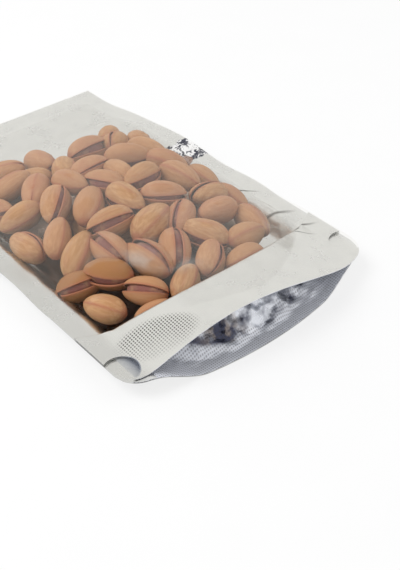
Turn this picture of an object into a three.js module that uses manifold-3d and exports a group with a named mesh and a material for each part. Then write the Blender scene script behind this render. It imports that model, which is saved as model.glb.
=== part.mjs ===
// A stand-up pouch of clear front film and silver foil, filled with pistachios in their shells.
// It lies on its back: +X across its width, +Y towards its sealed top, +Z up.
// Millimetres. The origin is on the surface it lies on, under the middle of its outline.

import * as THREE from 'three';
import { mergeVertices } from 'three/addons/utils/BufferGeometryUtils.js';
import Module from 'manifold-3d';

// Pouch sizes
const pouchWidth = 124;
const pouchLength = 210;
const sideSeal = 9;
const topSeal = 12;
const cornerRadius = 7;
const filmThickness = 0.25;
const layerGap = 0.3;

// Gusset sizes, each leg measured from the bottom edge to the fold
const gussetDepth = 32;
const foldSlack = 6;
const foldRadius = 2.5;
const foldBlend = 6;
const backBand = 4;
const punchRadius = 7.1;
const punchInset = 4;
const punchRise = 8.4;
const crinkleHeight = 0.5;
const crinklePitch = 17;

// Filled shape, heights above the surface it lies on
const seamHeight = 7;
const mouthHeight = 22.5;
const foldHeight = 22;
const crownHeight = 27.5;
const shoulderHeight = 25.5;
const crownPlace = 85;
const shoulderPlace = 120;
const fillLength = 150;
const fillEndHeight = 17;
const neckHeight = 4.5;
const neckShift = 4;
const seamTaper = 10;
const sideRise = 9;
const mouthLean = 5;
const bottomBow = 11;
const frontSetback = 2.5;
const sealRipple = 0.8;
const ripplePitch = 58;

// Pistachio sizes
const nutLength = 21.5;
const nutWidth = 12.4;
const nutThickness = 11.4;
const splitDepth = 2.6;
const nutClearance = 0.2;
const seatGap = 0.35;
const seatTolerance = 0.15;
const mostNuts = 56;

// The bed of nuts under the ones that show
const bedPitchAcross = 9.2;
const bedPitchAlong = 17.4;
const bedColumns = 5;
const bedRows = 4;
const bedStart = 62;
const bedNutSize = 0.9;

const halfWidth = pouchWidth / 2;
const innerHalfWidth = halfWidth - sideSeal;
const restHalfWidth = innerHalfWidth - sideRise;
const bottomY = -pouchLength / 2;
const layerPitch = filmThickness + layerGap;
const gussetLift = 3 * layerPitch;
const sealBlend = 14;
const sealedFrom = pouchLength - topSeal;

const wasm = await Module();
wasm.setup();

// Helpers

function smooth(value, from, to) {
  return THREE.MathUtils.smoothstep(value, from, to);
}

// Splits the ranges between the stops into the given numbers of equal steps.
function stations(stops, counts) {
  const places = [stops[0]];
  counts.forEach((count, i) => {
    for (let k = 1; k <= count; k++) {
      places.push(THREE.MathUtils.lerp(stops[i], stops[i + 1], k / count));
    }
  });
  return places;
}

function mirrored(places) {
  const left = places.slice(1).reverse().map((place) => -place);
  return [...left, ...places];
}

function toSolid(geometry) {
  const bare = geometry.index ? geometry.clone() : geometry;
  bare.deleteAttribute('normal');
  bare.deleteAttribute('uv');
  const merged = mergeVertices(bare, 1e-4);
  return new wasm.Manifold(new wasm.Mesh({
    numProp: 3,
    vertProperties: new Float32Array(merged.attributes.position.array),
    triVerts: new Uint32Array(merged.index.array),
  }));
}

function fromSolid(solid) {
  const mesh = solid.getMesh();
  const geometry = new THREE.BufferGeometry();
  geometry.setAttribute('position', new THREE.BufferAttribute(new Float32Array(mesh.vertProperties), 3));
  geometry.setIndex(new THREE.BufferAttribute(new Uint32Array(mesh.triVerts), 1));
  geometry.computeVertexNormals();
  return geometry;
}

// The filled shape of the films. v is the distance up the film from its bottom edge.

const neckPlace = (fillLength + sealedFrom) / 2 + neckShift;
const crownCurve = new THREE.CubicInterpolant(
  [0, gussetDepth, crownPlace, shoulderPlace, fillLength, neckPlace, sealedFrom, pouchLength],
  [mouthHeight, foldHeight, crownHeight, shoulderHeight, fillEndHeight, neckHeight, layerPitch, layerPitch],
  1,
);

function crownAt(v) {
  const inside = THREE.MathUtils.clamp(v, 0, sealedFrom);
  return Math.max(layerPitch, crownCurve.evaluate(inside)[0]);
}

function seamAt(v) {
  return seamHeight * (1 - smooth(v, fillLength - seamTaper, sealedFrom));
}

// Height of the front film over the back film where the side seals press them together.
function sealLift(v) {
  const above = smooth(v, gussetDepth + 1, gussetDepth + 1 + sealBlend);
  return THREE.MathUtils.lerp(gussetLift, layerPitch, above);
}

function ripple(x, v) {
  const inSeal = smooth(Math.abs(x), innerHalfWidth, halfWidth);
  const held = smooth(v, gussetDepth + sealBlend, gussetDepth + 2 * sealBlend) * seamAt(v) / seamHeight;
  const phase = Math.sign(x) * 0.7;
  return sealRipple * inSeal * held * Math.sin((2 * Math.PI * v) / ripplePitch + phase);
}

// How full the section is at x, from 1 in the middle to 0 at the side seals.
function fullness(x, v) {
  const filled = smooth(v, 0, gussetDepth + sealBlend);
  const lean = mouthLean * (1 - filled);
  const share = Math.min(1, Math.abs(x) / innerHalfWidth);
  const leant = Math.min(1, Math.abs(x + lean * (1 - share * share)) / innerHalfWidth);
  const bell = (1 - leant ** 2) ** 1.4;
  const body = 1 - leant ** 3;
  return THREE.MathUtils.lerp(bell, body, filled);
}

// Underside of the back film.
function backHeight(x, v) {
  return seamAt(v) * smooth(Math.abs(x), restHalfWidth, innerHalfWidth) + ripple(x, v);
}

// Underside of the clear front film.
function frontHeight(x, v) {
  const edge = seamAt(v) + sealLift(v);
  return edge + Math.max(0, crownAt(v) - edge) * fullness(x, v) + ripple(x, v);
}

// The bottom edge bows out between its rounded corners.
function alongAt(x, v) {
  const across = (x / halfWidth) ** 2;
  const bow = bottomBow * (1 - smooth(v, gussetDepth, fillLength));
  const past = Math.max(0, Math.abs(x) - (halfWidth - cornerRadius));
  const rounding = cornerRadius - Math.sqrt(Math.max(0, cornerRadius ** 2 - past ** 2));
  return bottomY + v + bow * across + rounding * Math.max(0, 1 - v / (3 * cornerRadius));
}

// The filled front film is pulled in a little from the bottom edge of the back film.
function setbackAt(x, v) {
  const middle = 1 - (x / halfWidth) ** 2;
  return frontSetback * middle * Math.max(0, 1 - v / gussetDepth);
}

const columns = mirrored(stations([0, restHalfWidth, innerHalfWidth, halfWidth], [5, 3, 3]));
const rows = stations([0, gussetDepth, gussetDepth + 1 + sealBlend, fillLength, sealedFrom, pouchLength], [5, 2, 7, 5, 1]);

// A closed sheet: place(column, row, side) gives each corner, side being 0 below and 1 above.
function sheet(columnCount, rowCount, place) {
  const geometry = new THREE.BoxGeometry(columnCount, rowCount, 1, columnCount, rowCount, 1);
  const position = geometry.attributes.position;
  for (let i = 0; i < position.count; i++) {
    const column = Math.round(position.getX(i) + columnCount / 2);
    const row = Math.round(position.getY(i) + rowCount / 2);
    const side = Math.round(position.getZ(i) + 0.5);
    const point = place(column, row, side);
    position.setXYZ(i, point.x, point.y, point.z);
  }
  geometry.deleteAttribute('normal');
  geometry.deleteAttribute('uv');
  const merged = mergeVertices(geometry, 1e-4);
  merged.computeVertexNormals();
  return merged;
}

function frontPanel() {
  return sheet(columns.length - 1, rows.length - 1, (column, row, side) => {
    const x = columns[column];
    const v = rows[row];
    const z = frontHeight(x, v) + side * filmThickness;
    return new THREE.Vector3(x, alongAt(x, v) + setbackAt(x, v), z);
  });
}

function backPanel() {
  return sheet(columns.length - 1, rows.length - 1, (column, row, side) => {
    const x = columns[column];
    const v = rows[row];
    return new THREE.Vector3(x, alongAt(x, v), backHeight(x, v) + side * filmThickness);
  });
}

// The bottom gusset, folded in a lying V between the two panels

const frontLegRows = 5;
const foldRows = 4;
const backLegRows = 7;

function foldPlace(x) {
  return gussetDepth - foldSlack * (1 - (x / halfWidth) ** 2);
}

// Middle of the front leg's film, close under the front panel.
function frontLegHeight(x, v) {
  return frontHeight(x, v) - layerGap - filmThickness / 2;
}

// Middle of the back leg's film where it is sealed to the back panel.
function backLegFoot(x, v) {
  return backHeight(x, v) + layerPitch + filmThickness / 2;
}

function foldSize(x) {
  const v = foldPlace(x);
  const room = frontLegHeight(x, v) - backLegFoot(x, v);
  return Math.min(foldRadius, room / 2);
}

// How far the back leg has risen towards the fold, from 0 at its foot to 1.
function legRise(share, x) {
  const band = backBand / foldPlace(x);
  return smooth(share, band, 1);
}

function crinkle(x, share) {
  const across = Math.sin((2 * Math.PI * x) / crinklePitch + 4 * share);
  const along = Math.sin(2.5 * Math.PI * share);
  const free = 1 - Math.min(1, Math.abs(x) / innerHalfWidth) ** 2;
  return crinkleHeight * across * along * smooth(share, 0.15, 0.4) * (1 - smooth(share, 0.75, 1)) * free;
}

// A point of the gusset's middle surface, counted in rows from the front edge over the fold.
function gussetPoint(x, row) {
  const radius = foldSize(x);
  const turn = foldPlace(x) - radius;
  const top = frontLegHeight(x, turn);
  if (row <= frontLegRows) {
    const v = turn * (row / frontLegRows);
    return new THREE.Vector3(x, alongAt(x, v) + setbackAt(x, v), frontLegHeight(x, v));
  }
  if (row < frontLegRows + foldRows) {
    const angle = Math.PI * ((row - frontLegRows) / foldRows);
    const v = turn + radius * Math.sin(angle);
    return new THREE.Vector3(x, alongAt(x, v), top - radius + radius * Math.cos(angle));
  }
  const share = 1 - (row - frontLegRows - foldRows) / backLegRows;
  const v = turn * share;
  const foot = backLegFoot(x, v);
  const z = THREE.MathUtils.lerp(foot, top - 2 * radius, legRise(share, x)) + crinkle(x, share);
  return new THREE.Vector3(x, alongAt(x, v), z);
}

function gussetNormal(x, row) {
  const last = frontLegRows + foldRows + backLegRows;
  const before = gussetPoint(x, Math.max(0, row - 1));
  const after = gussetPoint(x, Math.min(last, row + 1));
  const run = after.sub(before).setX(0).normalize();
  return new THREE.Vector3(0, -run.z, run.y);
}

function punchedHole(side) {
  const hole = new THREE.CylinderGeometry(punchRadius, punchRadius, 2 * mouthHeight, 40);
  hole.rotateX(Math.PI / 2);
  const corner = bottomY + bottomBow;
  hole.translate(side * (halfWidth - punchInset), corner + punchRise, seamHeight);
  return toSolid(hole);
}

function bottomGusset() {
  const rowCount = frontLegRows + foldRows + backLegRows;
  const folded = sheet(columns.length - 1, rowCount, (column, row, side) => {
    const x = columns[column];
    const offset = (side - 0.5) * filmThickness;
    return gussetPoint(x, row).addScaledVector(gussetNormal(x, row), offset);
  });
  const punched = toSolid(folded).subtract(punchedHole(-1)).subtract(punchedHole(1));
  return fromSolid(punched);
}

// One pistachio: an egg-shaped shell, long axis along +Y from hinge to tip, split on its +Z side

const nutRings = [-0.8, -0.3, 0.3, 0.78];
const nutSides = 10;

function nutRadius(share) {
  const round = (1 - Math.abs(share) ** 2.2) ** 0.58;
  return round * (1 - 0.13 * share);
}

function nutSplit(share, opening) {
  return opening * splitDepth * smooth(share, -0.35, 0.4) * (1 - 0.35 * smooth(share, 0.6, 1));
}

function nutGeometry(scale, opening) {
  const half = (nutLength / 2) * scale;
  const profile = nutRings.map((share) => new THREE.Vector2(nutRadius(share), share));
  const outline = [new THREE.Vector2(0, -1), ...profile, new THREE.Vector2(0, 1)];
  const geometry = new THREE.LatheGeometry(outline, nutSides);
  geometry.deleteAttribute('normal');
  geometry.deleteAttribute('uv');
  const shell = mergeVertices(geometry, 1e-4);
  const position = shell.attributes.position;
  for (let i = 0; i < position.count; i++) {
    const share = position.getY(i);
    const radius = Math.hypot(position.getX(i), position.getZ(i));
    const even = Math.atan2(position.getX(i), position.getZ(i));
    const angle = even - 0.6 * Math.sin(even);
    const onSplit = Math.abs(even) < 0.1 && radius > 0.1;
    const inward = onSplit ? nutSplit(share, opening) / (nutThickness / 2) : 0;
    const x = (nutWidth / 2) * scale * radius * Math.sin(angle);
    const z = (nutThickness / 2) * scale * (radius - inward) * Math.cos(angle);
    position.setXYZ(i, x, half * share, z);
  }
  shell.computeVertexNormals();
  return shell;
}

// The nuts under the window are placed as in a pouch with these sizes, along being counted from its middle.
const drawnHalfWidth = 53;
const drawnFold = -73;
const drawnFillEnd = 45;

// Each nut's place across and along, its turn from +X, the roll of its split, its size and its opening
const shownNuts = [
  [14.6, 34.3, 5, -50, 1.04, 1.0],
  [19.5, 10.9, -33, -95, 1.0, 1.0],
  [34.3, 18.2, -71, 100, 1.08, 0.3],
  [30.1, 36.3, 42, 12, 0.95, 1.0],
  [-6.2, 23.7, 60, 133, 1.0, 0.3],
  [-1.1, 12.1, 5, -45, 1.0, 0.5],
  [-4.1, -2.6, 122, 59, 0.92, 1.4],
  [4.7, 0.3, 90, 78, 0.9, 1.0],
  [11.4, -7.6, -168, 71, 1.0, 1.0],
  [-4.2, -19, -86, -90, 1.0, 1.0],
  [-18.5, -11.7, 44, -51, 1.08, 0.8],
  [-14.2, 7.2, -72, 100, 0.92, 0.3],
  [-25, 2, -132, 32, 1.05, 0.8],
  [-17.5, -27.8, 170, 51, 0.96, 1.2],
  [-3.5, -34.8, 20, 140, 1.12, 0.3],
  [11, -24.8, -34, -70, 0.95, 0.8],
  [33.7, -1.2, -49, 130, 0.96, 0.3],
  [27.6, -13, -76, 150, 1.0, 0.3],
  [42, -13.6, -85, 150, 0.95, 0.3],
  [29.7, -31.8, -179, -8, 0.97, 0.8],
  [24.7, -43.3, -178, -60, 0.98, 0.4],
  [40, -34, -75, 150, 0.94, 0.3],
  [34.9, -53.5, -94, 19, 0.96, 0.6],
  [22.6, -62, 2, 150, 0.92, 0.3],
  [9, -53.1, 123, 84, 1.02, 1.2],
  [6.9, -40.1, -144, -14, 0.92, 0.8],
  [-6.7, -52.7, -122, 15, 0.98, 1.3],
  [0.8, -66, 42, -49, 0.95, 0.5],
  [-17.3, -50.3, 96, 1, 1.1, 0.9],
  [-15.3, -69.5, 34, 133, 0.92, 0.3],
  [-35.5, -27.5, 31, 140, 1.1, 0.3],
  [-25.9, -36.8, 92, 29, 0.98, 1.5],
  [-34.5, -44.8, 122, 84, 1.1, 1.2],
  [-44, -37, -41, -60, 0.94, 1.2],
  [-42.7, -55.3, 109, -140, 1.0, 0.4],
  [-28.1, -62.9, 125, 39, 0.96, 1.2],
  [-32, -73, -15, 140, 0.9, 0.3],
  [-36.5, -14, 46, 146, 0.96, 0.3],
  [14, -72, -179, -140, 0.92, 0.3],
];

// The rest of the layer is filled from a fine grid, wherever a nut still fits.
const gridStep = 3.5;
const gridClearance = 14.2;

function fitted([across, along, ...rest]) {
  const x = across * (innerHalfWidth / drawnHalfWidth);
  const y = THREE.MathUtils.mapLinear(along, drawnFold, drawnFillEnd, bottomY + gussetDepth, bottomY + fillLength);
  return [x, y, ...rest];
}

function seedNuts() {
  const seeds = shownNuts.map(fitted);
  const margin = nutWidth * 0.7;
  const top = bottomY + fillLength + margin / 2;
  for (let y = bottomY + gussetDepth + margin; y < top; y += gridStep) {
    for (let x = -innerHalfWidth + margin; x < innerHalfWidth - margin; x += gridStep) {
      const free = seeds.every(([nx, ny]) => Math.hypot(nx - x, ny - y) > gridClearance);
      if (free && seeds.length < mostNuts) {
        const count = seeds.length;
        seeds.push([x, y, (count * 67) % 360, (count * 101) % 360, 0.92 + 0.02 * (count % 6), 0.4 + 0.2 * (count % 5)]);
      }
    }
  }
  return seeds;
}

// Nuts are packed as rows of balls that cover their shells.
const ballShares = [-0.76, -0.42, 0, 0.42, 0.76];
const coverExtra = 0.05;

function sizeNut(nut, scale) {
  nut.scale = scale;
  nut.balls = ballShares.map((share) => ({
    offset: nut.axis.clone().multiplyScalar(share * (nutLength / 2) * scale),
    radius: (nutWidth / 2) * scale * nutRadius(share) + coverExtra,
  }));
  return nut;
}

function makeNut([x, y, turn, roll, scale, opening]) {
  const v = y - bottomY;
  const heading = THREE.MathUtils.degToRad(turn);
  const axis = new THREE.Vector3(Math.cos(heading), Math.sin(heading), 0);
  const step = 6;
  const ahead = frontHeight(x + axis.x * step, v + axis.y * step);
  const behind = frontHeight(x - axis.x * step, v - axis.y * step);
  const slope = THREE.MathUtils.clamp((ahead - behind) / (2 * step), -0.45, 0.45);
  axis.z = slope;
  axis.normalize();
  const floor = backHeight(x, v) + filmThickness + nutWidth / 2;
  const centre = new THREE.Vector3(x, y, Math.max(floor, frontHeight(x, v) - nutWidth / 2 - 1));
  const nut = { centre, home: centre.clone(), axis, roll: THREE.MathUtils.degToRad(roll), opening, fixed: false };
  return sizeNut(nut, scale);
}

function bedNut(column, line) {
  const x = (column - (bedColumns - 1) / 2) * bedPitchAcross;
  const stagger = (column % 2) * (bedPitchAlong / 2);
  const y = bottomY + bedStart + line * bedPitchAlong + stagger;
  const turn = 90 + ((column * 7 + line * 5) % 5 - 2) * 4;
  const nut = makeNut([x, y, turn, (column * 83 + line * 47) % 360, bedNutSize, 0]);
  nut.axis.z = 0;
  nut.axis.normalize();
  nut.centre.z = filmThickness + layerGap + (nutWidth / 2) * bedNutSize;
  nut.fixed = true;
  return sizeNut(nut, bedNutSize);
}

function bedNuts() {
  const nuts = [];
  for (let column = 0; column < bedColumns; column++) {
    for (let line = 0; line < bedRows - (column % 2); line++) {
      nuts.push(bedNut(column, line));
    }
  }
  return nuts;
}

// The inner surfaces that hold the nuts: the films, and the gusset's back leg below its fold.
function vAt(x, y) {
  const across = (x / halfWidth) ** 2;
  const v = y - bottomY;
  return v - bottomBow * across * (1 - smooth(v, gussetDepth, fillLength));
}

function ceilingAt(x, y) {
  const v = vAt(x, y);
  const fold = foldPlace(x);
  const turn = fold - foldSize(x);
  const share = THREE.MathUtils.clamp(v / turn, 0, 1);
  const foot = backLegFoot(x, v);
  const top = frontLegHeight(x, turn) - 2 * foldSize(x);
  const leg = THREE.MathUtils.lerp(foot, top, legRise(share, x)) - filmThickness - crinkleHeight;
  return THREE.MathUtils.lerp(leg, frontHeight(x, v), smooth(v, fold - filmThickness * 4, fold + foldBlend));
}

function floorAt(x, y) {
  return backHeight(x, vAt(x, y)) + filmThickness;
}

function normalOf(surface, x, y) {
  const d = 0.5;
  const gx = (surface(x + d, y) - surface(x - d, y)) / (2 * d);
  const gy = (surface(x, y + d) - surface(x, y - d)) / (2 * d);
  return new THREE.Vector3(-gx, -gy, 1).normalize();
}

// How far the ball must move to clear the surface, which is above it if way is 1, below if -1.
function pushFrom(surface, ball, radius, way) {
  const near = normalOf(surface, ball.x, ball.y);
  const reach = radius + nutClearance;
  const foot = ball.clone().addScaledVector(near, way * reach);
  const normal = normalOf(surface, foot.x, foot.y);
  const extreme = ball.clone().addScaledVector(normal, way * reach);
  const over = way * (extreme.z - surface(extreme.x, extreme.y)) * normal.z;
  return over > 0 ? normal.multiplyScalar(-way * over) : null;
}

// Returns how far the nut still reached past the films before it was moved.
function holdInside(nut) {
  let worst = 0;
  for (const ball of nut.balls) {
    const centre = nut.centre.clone().add(ball.offset);
    const down = pushFrom(ceilingAt, centre, ball.radius, 1);
    if (down) {
      worst = Math.max(worst, down.length());
      nut.centre.addScaledVector(down, 0.6);
    }
    const up = pushFrom(floorAt, centre, ball.radius, -1);
    if (up) {
      worst = Math.max(worst, up.length());
      nut.centre.addScaledVector(up, 0.6);
    }
  }
  return worst;
}

function deepestOverlap(a, b) {
  const between = new THREE.Vector3();
  let deepest = { depth: 0, way: null };
  for (const p of a.balls) {
    for (const q of b.balls) {
      between.copy(b.centre).add(q.offset).sub(a.centre).sub(p.offset);
      const depth = p.radius + q.radius + nutClearance - between.length();
      if (depth > deepest.depth) {
        deepest = { depth, way: between.clone().normalize() };
      }
    }
  }
  return deepest;
}

function separate(a, b) {
  if ((a.fixed && b.fixed) || a.centre.distanceTo(b.centre) > nutLength * 1.3) {
    return;
  }
  const { depth, way } = deepestOverlap(a, b);
  if (depth <= 0) {
    return;
  }
  a.squeeze = Math.max(a.squeeze, depth);
  b.squeeze = Math.max(b.squeeze, depth);
  const shareOfA = a.fixed ? 0 : b.fixed ? 1 : 0.5;
  a.centre.addScaledVector(way, -depth * shareOfA);
  b.centre.addScaledVector(way, depth * (1 - shareOfA));
}

// Presses the nuts up under the film and apart, while they stay near where they were put.
// A nut that is still squeezed at the end gives way to its neighbours as a slightly smaller one.
function packNuts(nuts) {
  const rounds = 300;
  const settling = 200;
  const homing = 0.2;
  const press = 0.25;
  const giveWay = 0.98;
  const allowed = nutClearance * 0.5;
  for (let round = 0; round < rounds; round++) {
    const loose = round < rounds - settling;
    for (const nut of nuts.filter(({ fixed }) => !fixed)) {
      if (loose) {
        nut.centre.lerp(nut.home, homing);
        nut.centre.z += press;
      }
      nut.squeeze = holdInside(nut);
    }
    for (let i = 0; i < nuts.length; i++) {
      for (let j = i + 1; j < nuts.length; j++) {
        separate(nuts[i], nuts[j]);
      }
    }
    const tight = nuts.filter((nut) => !loose && round % 6 === 0 && !nut.fixed && nut.squeeze > allowed);
    tight.forEach((nut) => sizeNut(nut, nut.scale * giveWay));
  }
}

function placeNut(geometry, nut) {
  const up = new THREE.Vector3(0, 0, 1).applyAxisAngle(nut.axis, -nut.roll);
  up.addScaledVector(nut.axis, -up.dot(nut.axis)).normalize();
  const side = new THREE.Vector3().crossVectors(nut.axis, up);
  geometry.applyMatrix4(new THREE.Matrix4().makeBasis(side, nut.axis, up).setPosition(nut.centre));
  return geometry;
}

function nutSolid(nut) {
  return toSolid(placeNut(nutGeometry(nut.scale, nut.opening), nut));
}

// Lifts each nut, the highest first, until it lies within the seat gap of the film or of a neighbour.
function seatNuts(nuts, held) {
  const search = 4;
  const order = [...nuts].sort((a, b) => b.centre.z - a.centre.z);
  const solids = new Map(order.map((nut) => [nut, nutSolid(nut)]));
  order.forEach((nut) => {
    const near = order.filter((other) => other !== nut && other.centre.distanceTo(nut.centre) < nutLength * 1.5);
    const others = [...held, ...near.map((other) => solids.get(other))];
    for (let step = 0; step < 12; step++) {
      const gap = others.reduce((least, other) => Math.min(least, solids.get(nut).minGap(other, search)), search);
      if (gap < seatGap + seatTolerance) {
        break;
      }
      nut.centre.z += gap - seatGap;
      solids.set(nut, nutSolid(nut));
    }
  });
}

// Finishes

function finish(color, roughness, metalness, opacity = 1) {
  return new THREE.MeshStandardMaterial({ color, roughness, metalness, opacity, transparent: opacity < 1 });
}

const clearFilm = finish(0xe4e2da, 0.22, 0, 0.35);
const silverFoil = finish(0xd2d3cf, 0.28, 0.9);
const shellTones = [0xc79b72, 0xc08f63, 0xcda17c, 0xbd8a66, 0xc9926f];

function named(name, geometry, material) {
  const mesh = new THREE.Mesh(geometry, material);
  mesh.name = name;
  return mesh;
}

// The pouch and its filling

const front = frontPanel();
const back = backPanel();
const gusset = bottomGusset();

const bed = bedNuts();
const layer = seedNuts().map(makeNut);
packNuts([...layer, ...bed]);
const bedSolid = bed.map(nutSolid).reduce((whole, one) => whole.add(one));
seatNuts(layer, [toSolid(front), toSolid(back), toSolid(gusset), bedSolid]);

const pouch = new THREE.Group();
pouch.add(named('front_panel', front, clearFilm));
pouch.add(named('back_panel', back, silverFoil));
pouch.add(named('bottom_gusset', gusset, silverFoil.clone()));

layer.forEach((nut, i) => {
  const shell = placeNut(nutGeometry(nut.scale, nut.opening), nut);
  const number = String(i + 1).padStart(2, '0');
  pouch.add(named(`pistachio_${number}`, shell, finish(shellTones[i % shellTones.length], 0.55, 0)));
});

pouch.add(named('lower_pistachios', fromSolid(bedSolid), finish(0xb5835c, 0.6, 0)));

export default pouch;
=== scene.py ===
"""Looks of a filled stand-up pouch: clear front film, silver foil back and gusset, pistachios inside."""

import logging
import math
from dataclasses import dataclass, field
from enum import Enum

import bpy
import numpy as np
from bpy.types import Material, Node, NodeSocket, NodeTree, Object
from mathutils import Matrix, Vector
from mathutils.bvhtree import BVHTree


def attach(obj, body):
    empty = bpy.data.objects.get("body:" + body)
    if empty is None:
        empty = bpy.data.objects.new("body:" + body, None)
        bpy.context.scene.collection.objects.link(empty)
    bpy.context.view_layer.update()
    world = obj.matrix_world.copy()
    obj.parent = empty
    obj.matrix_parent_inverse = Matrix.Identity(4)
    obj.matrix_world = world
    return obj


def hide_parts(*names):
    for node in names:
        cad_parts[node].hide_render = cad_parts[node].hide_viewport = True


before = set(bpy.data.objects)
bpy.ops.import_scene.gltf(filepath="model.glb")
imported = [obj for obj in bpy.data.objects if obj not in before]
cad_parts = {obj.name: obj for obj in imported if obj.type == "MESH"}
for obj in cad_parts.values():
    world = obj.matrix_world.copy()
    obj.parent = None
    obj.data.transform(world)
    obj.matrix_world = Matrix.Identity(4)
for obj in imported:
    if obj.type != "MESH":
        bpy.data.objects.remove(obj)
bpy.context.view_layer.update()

MM = 0.001
ROOT = "root"
SKEW_UNIT = 2.6  # makes the greatest value of share * (1 - share**2) 1
log = logging.getLogger("pouch")


def smooth(value: np.ndarray, low: np.ndarray | float, high: float) -> np.ndarray:
    """Smoothstep of value between low and high."""
    share = np.clip((value - low) / (high - low), 0.0, 1.0)
    return share * share * (3.0 - 2.0 * share)


def mix(low: np.ndarray, high: np.ndarray, share: np.ndarray) -> np.ndarray:
    """Linear blend of two arrays."""
    return low + (high - low) * share


def cubic(places: list[float], values: list[float], at: np.ndarray) -> np.ndarray:
    """Smooth curve through stations.

    Args:
        places: the stations, rising.
        values: the curve's value at each station.
        at: where the curve is wanted, within the stations.

    Returns:
        The curve's values.
    """
    spots, heights = np.array(places, float), np.array(values, float)
    last = len(spots) - 1
    right = np.clip(np.searchsorted(spots, at, side="right"), 1, last)
    left = right - 1
    before = np.where(left > 0, left - 1, right)
    after = np.where(right < last, right + 1, left)
    half = (spots[right] - spots[left]) * 0.5
    w_before = half / (spots[left] - spots[before])
    w_after = half / (spots[after] - spots[right])
    p = (at - spots[left]) / (spots[right] - spots[left])
    p2, p3 = p * p, p * p * p
    part_before = (-w_before * p3 + 2 * w_before * p2 - w_before * p) * heights[before]
    part_left = (1 + w_before) * p3 + (-1.5 - 2 * w_before) * p2 + (-0.5 + w_before) * p + 1
    part_right = ((-1 - w_after) * p3 + (1.5 + w_after) * p2 + 0.5 * p) * heights[right]
    part_after = (w_after * p3 - w_after * p2) * heights[after]
    return part_before + part_left * heights[left] + part_right + part_after


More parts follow.
